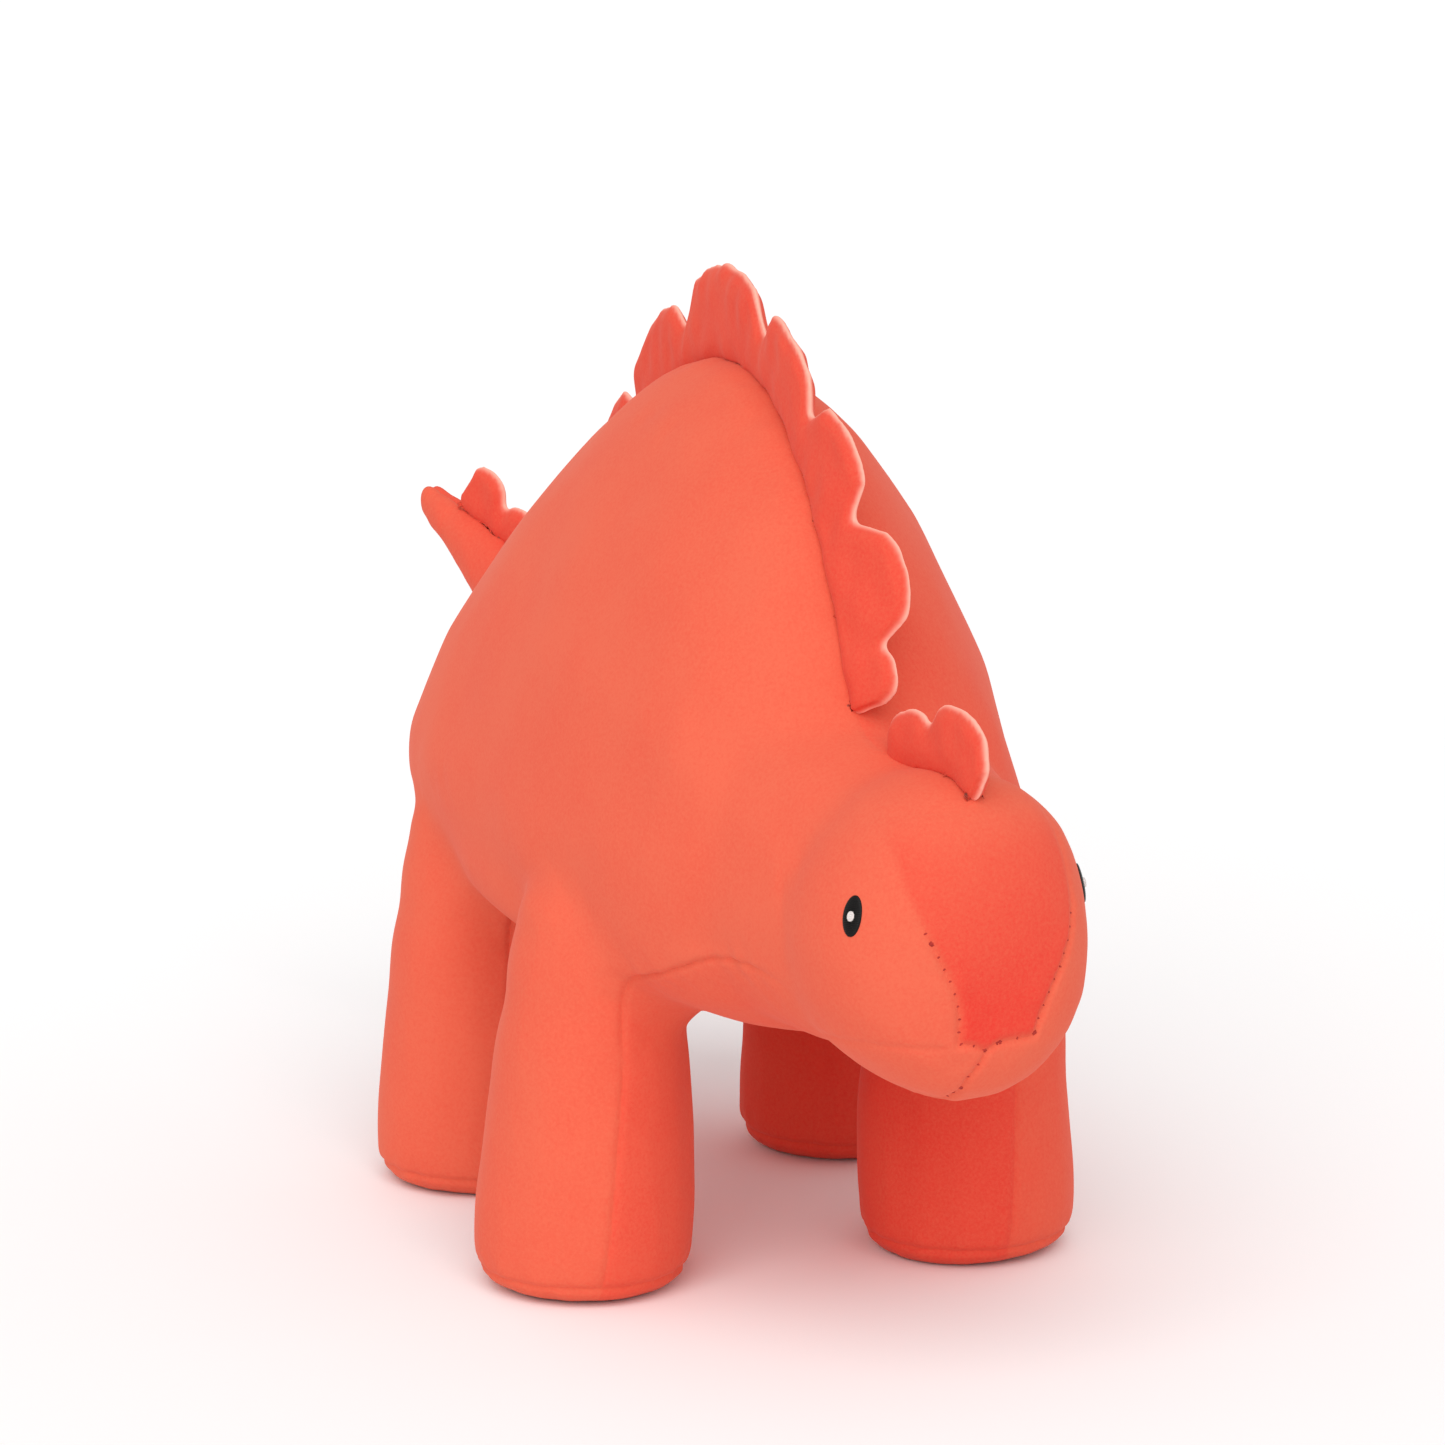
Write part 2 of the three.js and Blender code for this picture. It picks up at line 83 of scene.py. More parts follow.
LEG_TOP = 66 * MM  # the legs' own panels start here, below the belly
SOLE_SEAM = 5.5 * MM
# How far a leg's side seams stand outside the hip, at the top of the leg and at the floor.
LEG_SEAM = {
    "front_right_leg": (0 * MM, 7 * MM),
    "front_left_leg": (5 * MM, 2.5 * MM),
    "rear_right_leg": (0 * MM, 4 * MM),
    "rear_left_leg": (2 * MM, 2 * MM),
}

# Each pair is where one body's cloth starts to follow the next body, and where it follows it fully.
NECK_BEND = (NECK + np.array([0, 30, 6]) * MM, NECK + np.array([0, 2, 0]) * MM)
HEAD_BEND = (NECK + np.array([0, 2, 0]) * MM, NECK + np.array([0, -16, -3]) * MM)
TAIL_BEND = (TAIL_ROOT + np.array([0, -8, 0]) * MM, TAIL_ROOT + np.array([0, 24, 6]) * MM)

PUPIL = (0.53, 0.96)  # width and height, as shares of the CAD pupil's height
HIGHLIGHT = (1.9 * MM, 2.4 * MM)
HIGHLIGHT_LIFT = 0.6 * MM  # the white thread is sewn over the black
SATIN_DEPTH = 0.9 * MM
PLATE_NAP = 0.4
FIBRE_INSET, WADDING_INSET = 3.2 * MM, 0.4 * MM
FIBRE_STEP, WADDING_STEP = 4 * MM, 1.2 * MM
HIP_DRAPE = 34 * MM  # half the length along the body over which a hip is drawn in
FLOOR_REACH = 8.0


SKIN = {}  # the sewn body, made by the first step and cut into panels by the others


def linear(code):
    """An sRGB hex colour as linear red, green and blue."""
    channels = [int(code[i : i + 2], 16) / 255 for i in (1, 3, 5)]
    return tuple(c / 12.92 if c <= 0.04045 else ((c + 0.055) / 1.055) ** 2.4 for c in channels)


# ---------------------------------------------------------------- settings


class SewingSettings(bpy.types.PropertyGroup):
    """Sizes of the cloth work."""

    cloth_step: FloatProperty(
        name="Cloth Step", description="Edge length of the simulated cloth", default=3.2 * MM, unit="LENGTH"
    )
    plate_step: FloatProperty(
        name="Plate Step", description="Edge length of the plates' cloth", default=1.1 * MM, unit="LENGTH"
    )
    crease_fill: FloatProperty(
        name="Crease Fill", description="How far the creases round out", default=4.5 * MM, unit="LENGTH"
    )
    pressure: FloatProperty(name="Stuffing Pressure", description="Push of the filling on the cloth", default=4.0)
    swell: FloatProperty(
        name="Swell", description="How far the filling may push the cloth out", default=1 * MM, unit="LENGTH"
    )
    seam_depth: FloatProperty(
        name="Seam Depth", description="How far a seam pulls the cloth in", default=0.9 * MM, unit="LENGTH"
    )
    seam_width: FloatProperty(
        name="Seam Width", description="Half width of the dip along a seam", default=0.9 * MM, unit="LENGTH"
    )
    allowance: FloatProperty(
        name="Seam Allowance", description="Cloth turned in along each panel's edge", default=3 * MM, unit="LENGTH"
    )
    velour_thickness: FloatProperty(
        name="Velour Thickness", description="Backing and pile together", default=1.6 * MM, unit="LENGTH"
    )
    plate_velour: FloatProperty(
        name="Plate Velour", description="Thickness of the plates' thinner cloth", default=1.1 * MM, unit="LENGTH"
    )
    stitch_pitch: FloatProperty(
        name="Stitch Pitch", description="Distance between two stitches", default=3.2 * MM, unit="LENGTH"
    )
    stitch_length: FloatProperty(
        name="Stitch Length", description="Length of a stitch across its seam", default=1.5 * MM, unit="LENGTH"
    )
    thread: FloatProperty(name="Thread", description="Diameter of the sewing thread", default=0.5 * MM, unit="LENGTH")
    satin_pitch: FloatProperty(
        name="Satin Pitch", description="Distance between the strands of an eye", default=0.42 * MM, unit="LENGTH"
    )
    seed: IntProperty(name="Seed", description="Seed of the filling's unevenness", default=7)


class ClothColours(bpy.types.PropertyGroup):
    """Colours of the cloth and the threads."""

    velour_along: FloatVectorProperty(
        name="Velour, Along the Pile", description="Pile lying away from the eye", subtype="COLOR",
        default=linear("#E6694F"),
    )
    velour_against: FloatVectorProperty(
        name="Velour, Against the Pile", description="Pile pointing at the eye", subtype="COLOR",
        default=linear("#E23F33"),
    )
    # painted highlight: the plates' rims are drawn paler than the cloth, standing in for light caught by the
    # fanned-out pile
    velour_fold_highlight: FloatVectorProperty(
        name="Velour, on a Fold", description="Pile fanned out over a tight edge", subtype="COLOR",
        default=linear("#FFB3A0"),
    )
    seam_thread: FloatVectorProperty(
        name="Seam Thread", description="Polyester sewing thread", subtype="COLOR", default=linear("#B4362E")
    )
    eye_black: FloatVectorProperty(
        name="Eye Black", description="Rayon thread of the eyes", subtype="COLOR", default=linear("#0C0908")
    )
    eye_white: FloatVectorProperty(
        name="Eye White", description="Rayon thread of the highlights", subtype="COLOR", default=linear("#E4DAD6")
    )
    fibre: FloatVectorProperty(
        name="Fibre Fill", description="Polyester filling", subtype="COLOR", default=linear("#F2EFE8")
    )


# ---------------------------------------------------------------- materials


def add_node(tree, kind, settings=None, links=None):
    """Adds a node. Settings are its properties or socket values, and links join outputs to its inputs."""
    node = tree.nodes.new(kind)
    for key, value in (settings or {}).items():
        if isinstance(key, str) and hasattr(node, key):
            setattr(node, key, value)
        else:
            node.inputs[key].default_value = value
    for key, output in (links or {}).items():
        tree.links.new(output, node.inputs[key])
    return node


def new_material(name):
    material = bpy.data.materials.new(name)
    material.use_nodes = True
    material.node_tree.nodes.clear()
    return material, material.node_tree


def velour():
    """Knitted cotton velour with a brushed 1.5 mm pile.

    It gives the eye a matt, even colour that is deeper where the pile points at it, soft patches where
    the pile was stroked over, and a pale line along a tight fold: the fanned-out pile, drawn as a painted highlight.
    """
    name = "cotton velour, coral red"
    if name in bpy.data.materials:
        return bpy.data.materials[name]
    colours = bpy.context.scene.stegosaurus_colours
    material, tree = new_material(name)
    place = add_node(tree, "ShaderNodeAttribute", {"attribute_name": "cloth_place"}).outputs["Vector"]
    nap = add_node(tree, "ShaderNodeAttribute", {"attribute_name": "nap"}).outputs["Fac"]
    # where the painted highlight along the plates' rims lies
    fold_highlight = add_node(tree, "ShaderNodeAttribute", {"attribute_name": "fold_highlight"}).outputs["Fac"]
    stroked = add_node(
        tree, "ShaderNodeTexNoise", {"Scale": 1 / (30 * MM), "Detail": 3.0, "Roughness": 0.55}, {"Vector": place}
    )
    # the grain of the pile, drawn at 0.8 mm so that it shows
    grain = add_node(
        tree, "ShaderNodeTexNoise", {"Scale": 1 / (0.8 * MM), "Detail": 2.0, "Roughness": 0.7}, {"Vector": place}
    )
    patch = add_node(
        tree, "ShaderNodeMapRange", {"From Min": 0.3, "From Max": 0.7, "To Min": -0.09, "To Max": 0.09},
        {"Value": stroked.outputs["Fac"]},
    )
    speck = add_node(
        tree, "ShaderNodeMapRange", {"From Min": 0.25, "From Max": 0.75, "To Min": -0.2, "To Max": 0.2},
        {"Value": grain.outputs["Fac"]},
    )
    uneven = add_node(tree, "ShaderNodeMath", {"operation": "ADD"}, {0: patch.outputs[0], 1: speck.outputs[0]})
    lay = add_node(tree, "ShaderNodeMath", {"operation": "ADD", "use_clamp": True}, {0: nap, 1: uneven.outputs[0]})
    pile = add_node(
        tree, "ShaderNodeMix",
        {"data_type": "RGBA", 6: (*colours.velour_against, 1), 7: (*colours.velour_along, 1)}, {0: lay.outputs[0]},
    )
    # paints a pale highlight along the rims, over the colour of the pile
    fold_highlighted = add_node(
        tree, "ShaderNodeMix", {"data_type": "RGBA", 7: (*colours.velour_fold_highlight, 1)}, {0: fold_highlight, 6: pile.outputs[2]}
    )
    bump = add_node(
        tree, "ShaderNodeBump", {"Strength": 0.35, "Distance": 0.15 * MM}, {"Height": grain.outputs["Fac"]}
    )
    shader = add_node(
        tree, "ShaderNodeBsdfPrincipled",
        {"Roughness": 0.95, "Specular IOR Level": 0.1, "Sheen Weight": 0.18, "Sheen Roughness": 0.4,
         "Sheen Tint": (*linear("#FFC2B2"), 1)},
        {"Base Color": fold_highlighted.outputs[2], "Normal": bump.outputs["Normal"]},
    )
    add_node(tree, "ShaderNodeOutputMaterial", {}, {"Surface": shader.outputs[0]})
    return material


def spun_thread(name, colour, roughness):
    """Twisted rayon or polyester thread: a soft gloss along each strand, and slightly uneven dye."""
    material, tree = new_material(name)
    place = add_node(tree, "ShaderNodeTexCoord").outputs["Object"]
    strand = add_node(tree, "ShaderNodeTexNoise", {"Scale": 1 / (0.5 * MM), "Detail": 2.0}, {"Vector": place})
    tone = add_node(
        tree, "ShaderNodeMapRange", {"From Min": 0.3, "From Max": 0.7, "To Min": 0.8, "To Max": 1.1},
        {"Value": strand.outputs["Fac"]},
    )
    dyed = add_node(
        tree, "ShaderNodeMix", {"data_type": "RGBA", "blend_type": "MULTIPLY", 0: 1.0, 6: (*colour, 1)},
        {7: tone.outputs[0]},
    )
    shader = add_node(
        tree, "ShaderNodeBsdfPrincipled", {"Roughness": roughness, "Specular IOR Level": 0.2},
        {"Base Color": dyed.outputs[2]},
    )
    add_node(tree, "ShaderNodeOutputMaterial", {}, {"Surface": shader.outputs[0]})
    return material


def fibre_fill():
    """Siliconised polyester fibre: white, matt and cottony, in clumps about 9 mm across."""
    material, tree = new_material("polyester fibre fill, white")
    place = add_node(tree, "ShaderNodeTexCoord").outputs["Object"]
    clump = add_node(tree, "ShaderNodeTexNoise", {"Scale": 1 / (9 * MM), "Detail": 6.0}, {"Vector": place})
    tone = add_node(
        tree, "ShaderNodeMapRange", {"From Min": 0.3, "From Max": 0.7, "To Min": 0.86, "To Max": 1.0},
        {"Value": clump.outputs["Fac"]},
    )
    colour = add_node(
        tree, "ShaderNodeMix",
        {"data_type": "RGBA", "blend_type": "MULTIPLY", 0: 1.0,
         6: (*bpy.context.scene.stegosaurus_colours.fibre, 1)},
        {7: tone.outputs[0]},
    )
    bump = add_node(tree, "ShaderNodeBump", {"Strength": 0.8, "Distance": 1 * MM}, {"Height": clump.outputs["Fac"]})
    shader = add_node(
        tree, "ShaderNodeBsdfPrincipled", {"Roughness": 1.0, "Sheen Weight": 0.4},
        {"Base Color": colour.outputs[2], "Normal": bump.outputs["Normal"]},
    )
    add_node(tree, "ShaderNodeOutputMaterial", {}, {"Surface": shader.outputs[0]})
    return material


# ---------------------------------------------------------------- mesh tools


def new_object(name, mesh):
    obj = bpy.data.objects.new(name, mesh)
    bpy.context.scene.collection.objects.link(obj)
    return obj


def object_from(name, shape):
    """A new object that takes over a bmesh."""
    mesh = bpy.data.meshes.new(name)
    shape.to_mesh(mesh)
    shape.free()
    return new_object(name, mesh)


def joined_copy(nodes):
    """One bmesh with copies of these CAD nodes, their doubles merged."""
    joined = bmesh.new()
    for name in nodes:
        joined.from_mesh(frame["nodes"][name].data)
    bmesh.ops.remove_doubles(joined, verts=joined.verts, dist=0.01 * MM)
    return joined


def read_vectors(items, count, attribute="co"):
    flat = np.empty(count * 3, np.float32)
    items.foreach_get(attribute, flat)
    return flat.reshape(-1, 3).astype(float)


def node_points(node):
    vertices = frame["nodes"][node].data.vertices
    return read_vectors(vertices, len(vertices))


def points_of(obj):
    return read_vectors(obj.data.vertices, len(obj.data.vertices))


def move_to(obj, points):
    obj.data.vertices.foreach_set("co", points.astype(np.float32).ravel())
    obj.data.update()


def grow(obj, distance):
    """Moves the whole surface out along its normals, or in where the distance is negative."""
    normals = read_vectors(obj.data.vertices, len(obj.data.vertices), "normal")
    move_to(obj, points_of(obj) + distance * normals)


def settle(obj):
    """Applies the object's modifiers."""
    graph = bpy.context.evaluated_depsgraph_get()
    mesh = bpy.data.meshes.new_from_object(obj.evaluated_get(graph))
    obj.modifiers.clear()
    obj.data = mesh


def remesh(obj, step):
    modifier = obj.modifiers.new("weld", "REMESH")
    modifier.mode = "VOXEL"
    modifier.voxel_size = step
    settle(obj)
    keep_outside(obj)


def relax(obj, times):
    """Smooths the surface and swells it back by turns, so that it keeps its size."""
    for _ in range(times):
        for factor in (0.6, -0.62):
            modifier = obj.modifiers.new("relax", "SMOOTH")
            modifier.factor = factor
            modifier.iterations = 1
    settle(obj)


def even_out(obj, times):
    """Smooths away the steps of a weld, which shrinks thin edges a little."""
    modifier = obj.modifiers.new("even", "SMOOTH")
    modifier.factor = 0.5
    modifier.iterations = times
    settle(obj)


def subdivide(obj, levels):
    modifier = obj.modifiers.new("fine", "SUBSURF")
    modifier.levels = modifier.render_levels = levels
    settle(obj)


def keep_outside(obj):
    """Drops the closed pockets that welding can leave inside the outer surface."""
    whole = bmesh.new()
    whole.from_mesh(obj.data)
    left = set(whole.verts)
    shells = []
    while left:
        stack = [left.pop()]
        shell = set(stack)
        while stack:
            for edge in stack.pop().link_edges:
                for other in edge.verts:
                    if other not in shell:
                        shell.add(other)
                        stack.append(other)
        left -= shell
        shells.append(shell)
    outer = max(shells, key=len)
    bmesh.ops.delete(whole, geom=[v for v in whole.verts if v not in outer], context="VERTS")
    whole.to_mesh(obj.data)
    whole.free()


def stuff(obj, pressure, most, frames=20):
    """Blows the cloth up from inside, and lets no point move further than `most`."""
    before = points_of(obj)
    modifier = obj.modifiers.new("stuffing", "CLOTH")
    cloth = modifier.settings
    cloth.quality = 5
    cloth.mass = 0.3
    cloth.tension_stiffness = cloth.compression_stiffness = 15
    cloth.bending_stiffness = 0.5
    cloth.use_pressure = True
    cloth.uniform_pressure_force = pressure
    cloth.effector_weights.gravity = 0
    modifier.collision_settings.use_collision = False
    modifier.point_cache.frame_start, modifier.point_cache.frame_end = 1, frames
    for number in range(1, frames + 1):
        bpy.context.scene.frame_set(number)
    settle(obj)
    bpy.context.scene.frame_set(1)
    moved = points_of(obj) - before
    length = np.linalg.norm(moved, axis=1, keepdims=True)
    move_to(obj, before + moved * np.minimum(1, most / np.maximum(length, 1e-9)))


def ripple(points, wavelength, seed, waves=14):
    """Smooth seeded unevenness, mostly between -1 and 1, with bumps about this far apart."""
    rng = np.random.default_rng(seed)
    heading = rng.normal(size=(waves, 3))
    heading /= np.linalg.norm(heading, axis=1, keepdims=True)
    number = 2 * np.pi / wavelength * rng.uniform(0.7, 1.4, waves)
    phase = rng.uniform(0, 2 * np.pi, waves)
    return np.sin(points @ (heading * number[:, None]).T + phase).sum(1) / math.sqrt(waves)


def edges_of(faces):
    """The three edges of each triangle: all the first ones, then the second and the third."""
    return np.concatenate([faces[:, [0, 1]], faces[:, [1, 2]], faces[:, [2, 0]]])


def smooth_normals(points, faces):
    corner = points[faces]
    normal = np.cross(corner[:, 1] - corner[:, 0], corner[:, 2] - corner[:, 0])
    total = np.zeros_like(points)
    for k in range(3):
        np.add.at(total, faces[:, k], normal)
    return total / np.maximum(np.linalg.norm(total, axis=1, keepdims=True), 1e-12)


def surface_of(obj):
    """Takes an object apart into its points and triangles, and removes it."""
    mesh = obj.data
    mesh.calc_loop_triangles()
    flat = np.empty(len(mesh.loop_triangles) * 3, np.int32)
    mesh.loop_triangles.foreach_get("vertices", flat)
    points = points_of(obj)
    bpy.data.objects.remove(obj)
    return points, flat.reshape(-1, 3).astype(np.int64)


def evened(value, faces, times):
    """Averages a field over the neighbours of each point."""
    first, second = faces[:, [0, 1, 2]].ravel(), faces[:, [1, 2, 0]].ravel()
    count = np.bincount(first, minlength=len(value)) + 1
    for _ in range(times):
        value = (value + np.bincount(first, value[second], len(value))) / count
    return value


def cut_along(points, faces, value):
    """Splits triangles where a field changes sign, so that its zero line runs along edges."""
    sign = np.where(np.abs(value) < 0.05 * MM, 0, np.sign(value))
    edges = edges_of(faces)
    crossing = sign[edges[:, 0]] * sign[edges[:, 1]] < 0
    pairs, which = np.unique(np.sort(edges[crossing], axis=1), axis=0, return_inverse=True)
    first, second = value[pairs[:, 0]], value[pairs[:, 1]]
    share = (first / (first - second))[:, None]
    added = points[pairs[:, 0]] * (1 - share) + points[pairs[:, 1]] * share
    middle = np.full(len(edges), -1)
    middle[crossing] = len(points) + which.ravel()
    middle = middle.reshape(3, -1).T
    count = (middle >= 0).sum(1)
    result = [faces[count == 0]]
    for k in range(3):
        a, b, c = faces[:, k], faces[:, (k + 1) % 3], faces[:, (k + 2) % 3]
        ab, bc, ca = middle[:, k], middle[:, (k + 1) % 3], middle[:, (k + 2) % 3]
        two = (count == 2) & (ab >= 0) & (ca >= 0)
        result += [
            np.stack([a[two], ab[two], ca[two]], 1),
            np.stack([ab[two], b[two], c[two]], 1),
            np.stack([ab[two], c[two], ca[two]], 1),
        ]
        one = (count == 1) & (bc >= 0)
        result += [np.stack([a[one], b[one], bc[one]], 1), np.stack([a[one], bc[one], c[one]], 1)]
    value = np.concatenate([value, np.zeros(len(added))])
    return np.concatenate([points, added]), np.concatenate(result), value


def mesh_object(name, points, faces, normals, attributes, material):
    """A smooth object from triangles, with its own normals and named point attributes."""
    mesh = bpy.data.meshes.new(name)
    mesh.vertices.add(len(points))
    mesh.vertices.foreach_set("co", points.astype(np.float32).ravel())
    mesh.loops.add(faces.size)
    mesh.loops.foreach_set("vertex_index", faces.astype(np.int32).ravel())
    mesh.polygons.add(len(faces))
    mesh.polygons.foreach_set("loop_start", np.arange(0, faces.size, 3, dtype=np.int32))
    mesh.update(calc_edges=True)
    mesh.shade_smooth()
    mesh.normals_split_custom_set_from_vertices(normals.tolist())
    for key, values in attributes.items():
        flat = values.astype(np.float32)
        if values.ndim == 2:
            mesh.attributes.new(key, "FLOAT_VECTOR", "POINT").data.foreach_set("vector", flat.ravel())
        else:
            mesh.attributes.new(key, "FLOAT", "POINT").data.foreach_set("value", flat)
    mesh.materials.append(material)
    return new_object(name, mesh)


# ---------------------------------------------------------------- where the seams run


def smoothstep(low, high, value):
    t = np.clip((value - low) / (high - low), 0, 1)
    return t * t * (3 - 2 * t)


def greater(first, second, blend):
    """The greater of two fields, rounded off where they are nearly equal."""
    return blend * np.logaddexp(first / blend, second / blend)


def in_head(points):
    """Sideways, forwards and upwards of the neck, in the head's own directions."""
    right, ahead = math.cos(HEAD_TURN), math.sin(HEAD_TURN)
    offset = points - NECK
    side = offset[:, 0] * right + offset[:, 1] * ahead
    forwards = offset[:, 0] * ahead - offset[:, 1] * right
    return side, forwards, offset[:, 2]


def head_share(points):
    """0 on the torso and 1 on the head."""
    return smoothstep(-4 * MM, 20 * MM, NECK[1] - points[:, 1])


def spine_offset(points):
    """How far the spine seam lies off the middle: it wanders to the toy's right towards the neck."""
    return -3 * MM * smoothstep(-30 * MM, -92 * MM, points[:, 1]) * smoothstep(100 * MM, 170 * MM, points[:, 2])


def middle_field(points):
    """Below zero on the toy's right. The middle turns with the head and with the tail."""
    behind = points[:, 1] - TAIL_ROOT[1]
    past_tail = greater(behind, np.zeros_like(behind), 8 * MM)
    body = points[:, 0] - NECK[0] - spine_offset(points) + math.tan(TAIL_TURN) * past_tail
    side, _, up = in_head(points)
    # the chin seam starts a little to the toy's right
    chin = (5.5 * MM + 3 * MM * smoothstep(-19 * MM, -28 * MM, up)) * smoothstep(-10 * MM, -17 * MM, up)
    share = head_share(points)
    return body * (1 - share) + (side + chin) * share


def belly_field(points):
    """Below zero on the belly panel: between the legs' side seams, and under its upper edge."""
    out = np.abs(points[:, 0] - NECK[0])
    front = smoothstep(-60 * MM, -85 * MM, points[:, 1])
    arch = 80 * MM + 21 * MM * np.exp(-(((out - 35 * MM) / (16 * MM)) ** 2))  # over the chest
    edge = 90 * MM * (1 - front) + arch * front
    return greater(out - HIP_OUT, points[:, 2] - edge, 3 * MM)


def leg_field(leg):
    """Below zero on the inner side of a leg's side seams."""
    top, foot = LEG_SEAM[leg]
    hip = HIPS[leg][0] - NECK[0]

    def field(points):
        seam = HIP_OUT + top + (foot - top) * np.clip(1 - points[:, 2] / (60 * MM), 0, 1)
        return np.sign(hip) * (points[:, 0] - NECK[0]) - seam

    return field


def forehead_field(points):
    """Below zero on the forehead panel: a shield that widens from the mouth to the brow."""
    side, forwards, up = in_head(points)
    right_edge = 12.4 * MM + 11 * MM * smoothstep(-12 * MM, 24 * MM, up)
    left_edge = 8 * MM + 14 * MM * smoothstep(-20 * MM, 14 * MM, up)
    across = greater(-side - right_edge, side - left_edge, 1 * MM)
    mouth = -17.2 * MM - 1.8 * MM * np.exp(-(((side + 5.5 * MM) / (2.5 * MM)) ** 2))
    brow = greater(up - 37 * MM, 18 * MM - forwards, 1 * MM)
    return greater(greater(across, brow, 2.5 * MM), mouth - up, 0.6 * MM)


def nap_field(points):
    """Which way the pile lies: 1 away from the eye, 0 towards it. It changes at seams and fades elsewhere."""
    _, _, up = in_head(points)
    head = head_share(points)
    on_brow = smoothstep(0.6 * MM, -2 * MM, forehead_field(points)) * smoothstep(38 * MM, 24 * MM, up)
    brow = on_brow * (0.35 + 0.4 * smoothstep(26 * MM, -14 * MM, up)) * head
    left = smoothstep(-0.5 * MM, 0.5 * MM, middle_field(points)) * (1 - head)
    under = smoothstep(1 * MM, -3 * MM, belly_field(points)) * (1 - head)
    inner = np.zeros(len(points))
    for leg, hip in HIPS.items():
        mine = ((points[:, :2] - NECK[:2]) * (hip - NECK)[:2] > 0)[:, 0]
        mine &= np.abs(points[:, 1] - hip[1]) < 45 * MM
        inner[mine] = smoothstep(0.4 * MM, -0.4 * MM, leg_field(leg)(points[mine]))
    inner *= smoothstep(76 * MM, 50 * MM, points[:, 2])
    tail = smoothstep(TAIL_ROOT[1] - 10 * MM, TAIL_ROOT[1] + 20 * MM, points[:, 1])
    return 0.9 - brow - 0.28 * left - 0.15 * under * (1 - inner) - 0.3 * inner - 0.2 * tail


def neck_plane(points):
    """Above zero on the head's side of the neck."""
    return NECK[1] + 2 * MM - points[:, 1]


def tail_plane(points):
    """Above zero on the tail's side of its root."""
    return points[:, 1] - (TAIL_ROOT[1] - 8 * MM)


def leg_plane(points):
    """Above zero on the legs."""
    return LEG_TOP - points[:, 2]


def sole_plane(points):
    """Above zero on the soles."""
    return SOLE_SEAM - points[:, 2]


FIELDS = (middle_field, belly_field, forehead_field, neck_plane, tail_plane, leg_plane, sole_plane)


def spine_seam(points):
    share = smoothstep(100 * MM, 120 * MM, points[:, 2]) * (1 - head_share(points))
    return middle_field(points), 0.3 * share


def belly_seam(points):
    above_legs = smoothstep(LEG_TOP - 14 * MM, LEG_TOP + 14 * MM, points[:, 2])
    chest = 1 + 0.2 * smoothstep(-70 * MM, -90 * MM, points[:, 1])
    return belly_field(points), (1 - head_share(points)) * above_legs * chest


def leg_seam(leg):
    def seam(points):
        away = np.hypot(points[:, 0] - HIPS[leg][0], points[:, 1] - HIPS[leg][1])
        height = smoothstep(LEG_TOP + 14 * MM, LEG_TOP - 10 * MM, points[:, 2])
        share = smoothstep(40 * MM, 36 * MM, away) * height * smoothstep(2 * MM, 7 * MM, points[:, 2])
        return leg_field(leg)(points), 0.7 * share

    return seam


def sole_seam(points):
    return sole_plane(points), np.full(len(points), 0.8)


def forehead_seam(points):
    _, forwards, up = in_head(points)
    sewn = smoothstep(22 * MM, 34 * MM, forwards) * (1 - 0.8 * smoothstep(4 * MM, 20 * MM, up))
    return forehead_field(points), head_share(points) * sewn


def chin_seam(points):
    _, forwards, up = in_head(points)
    under = smoothstep(-17 * MM, -20 * MM, up) * smoothstep(4 * MM, 26 * MM, forwards)
    return middle_field(points), under * head_share(points)


def jaw_seam(points):
    """A faint line that runs back from the corner of the mouth."""
    side, forwards, up = in_head(points)
    level = up + 18 * MM + 3 * MM * smoothstep(50 * MM, 15 * MM, forwards)
    share = smoothstep(-13 * MM, -17 * MM, side) * smoothstep(8 * MM, 24 * MM, forwards)
    return level, 0.4 * share * head_share(points)


def tail_seam(points):
    share = smoothstep(TAIL_ROOT[1] - 20 * MM, TAIL_ROOT[1] + 4 * MM, points[:, 1])
    return middle_field(points), share


SEAMS = (
    spine_seam, belly_seam, *[leg_seam(leg) for leg in LEGS], sole_seam, forehead_seam, chin_seam, jaw_seam, tail_seam
)


# ---------------------------------------------------------------- the stuffed body


def bridge(shape, *groups):
    """Adds the hull of some points, for filling that runs from one body into the next."""
    corners = [shape.verts.new(point) for point in np.concatenate(groups)]
    hull = bmesh.ops.convex_hull(shape, input=corners)
    loose = [v for v in hull["geom_interior"] if isinstance(v, bmesh.types.BMVert)]
    bmesh.ops.delete(shape, geom=loose, context="VERTS")


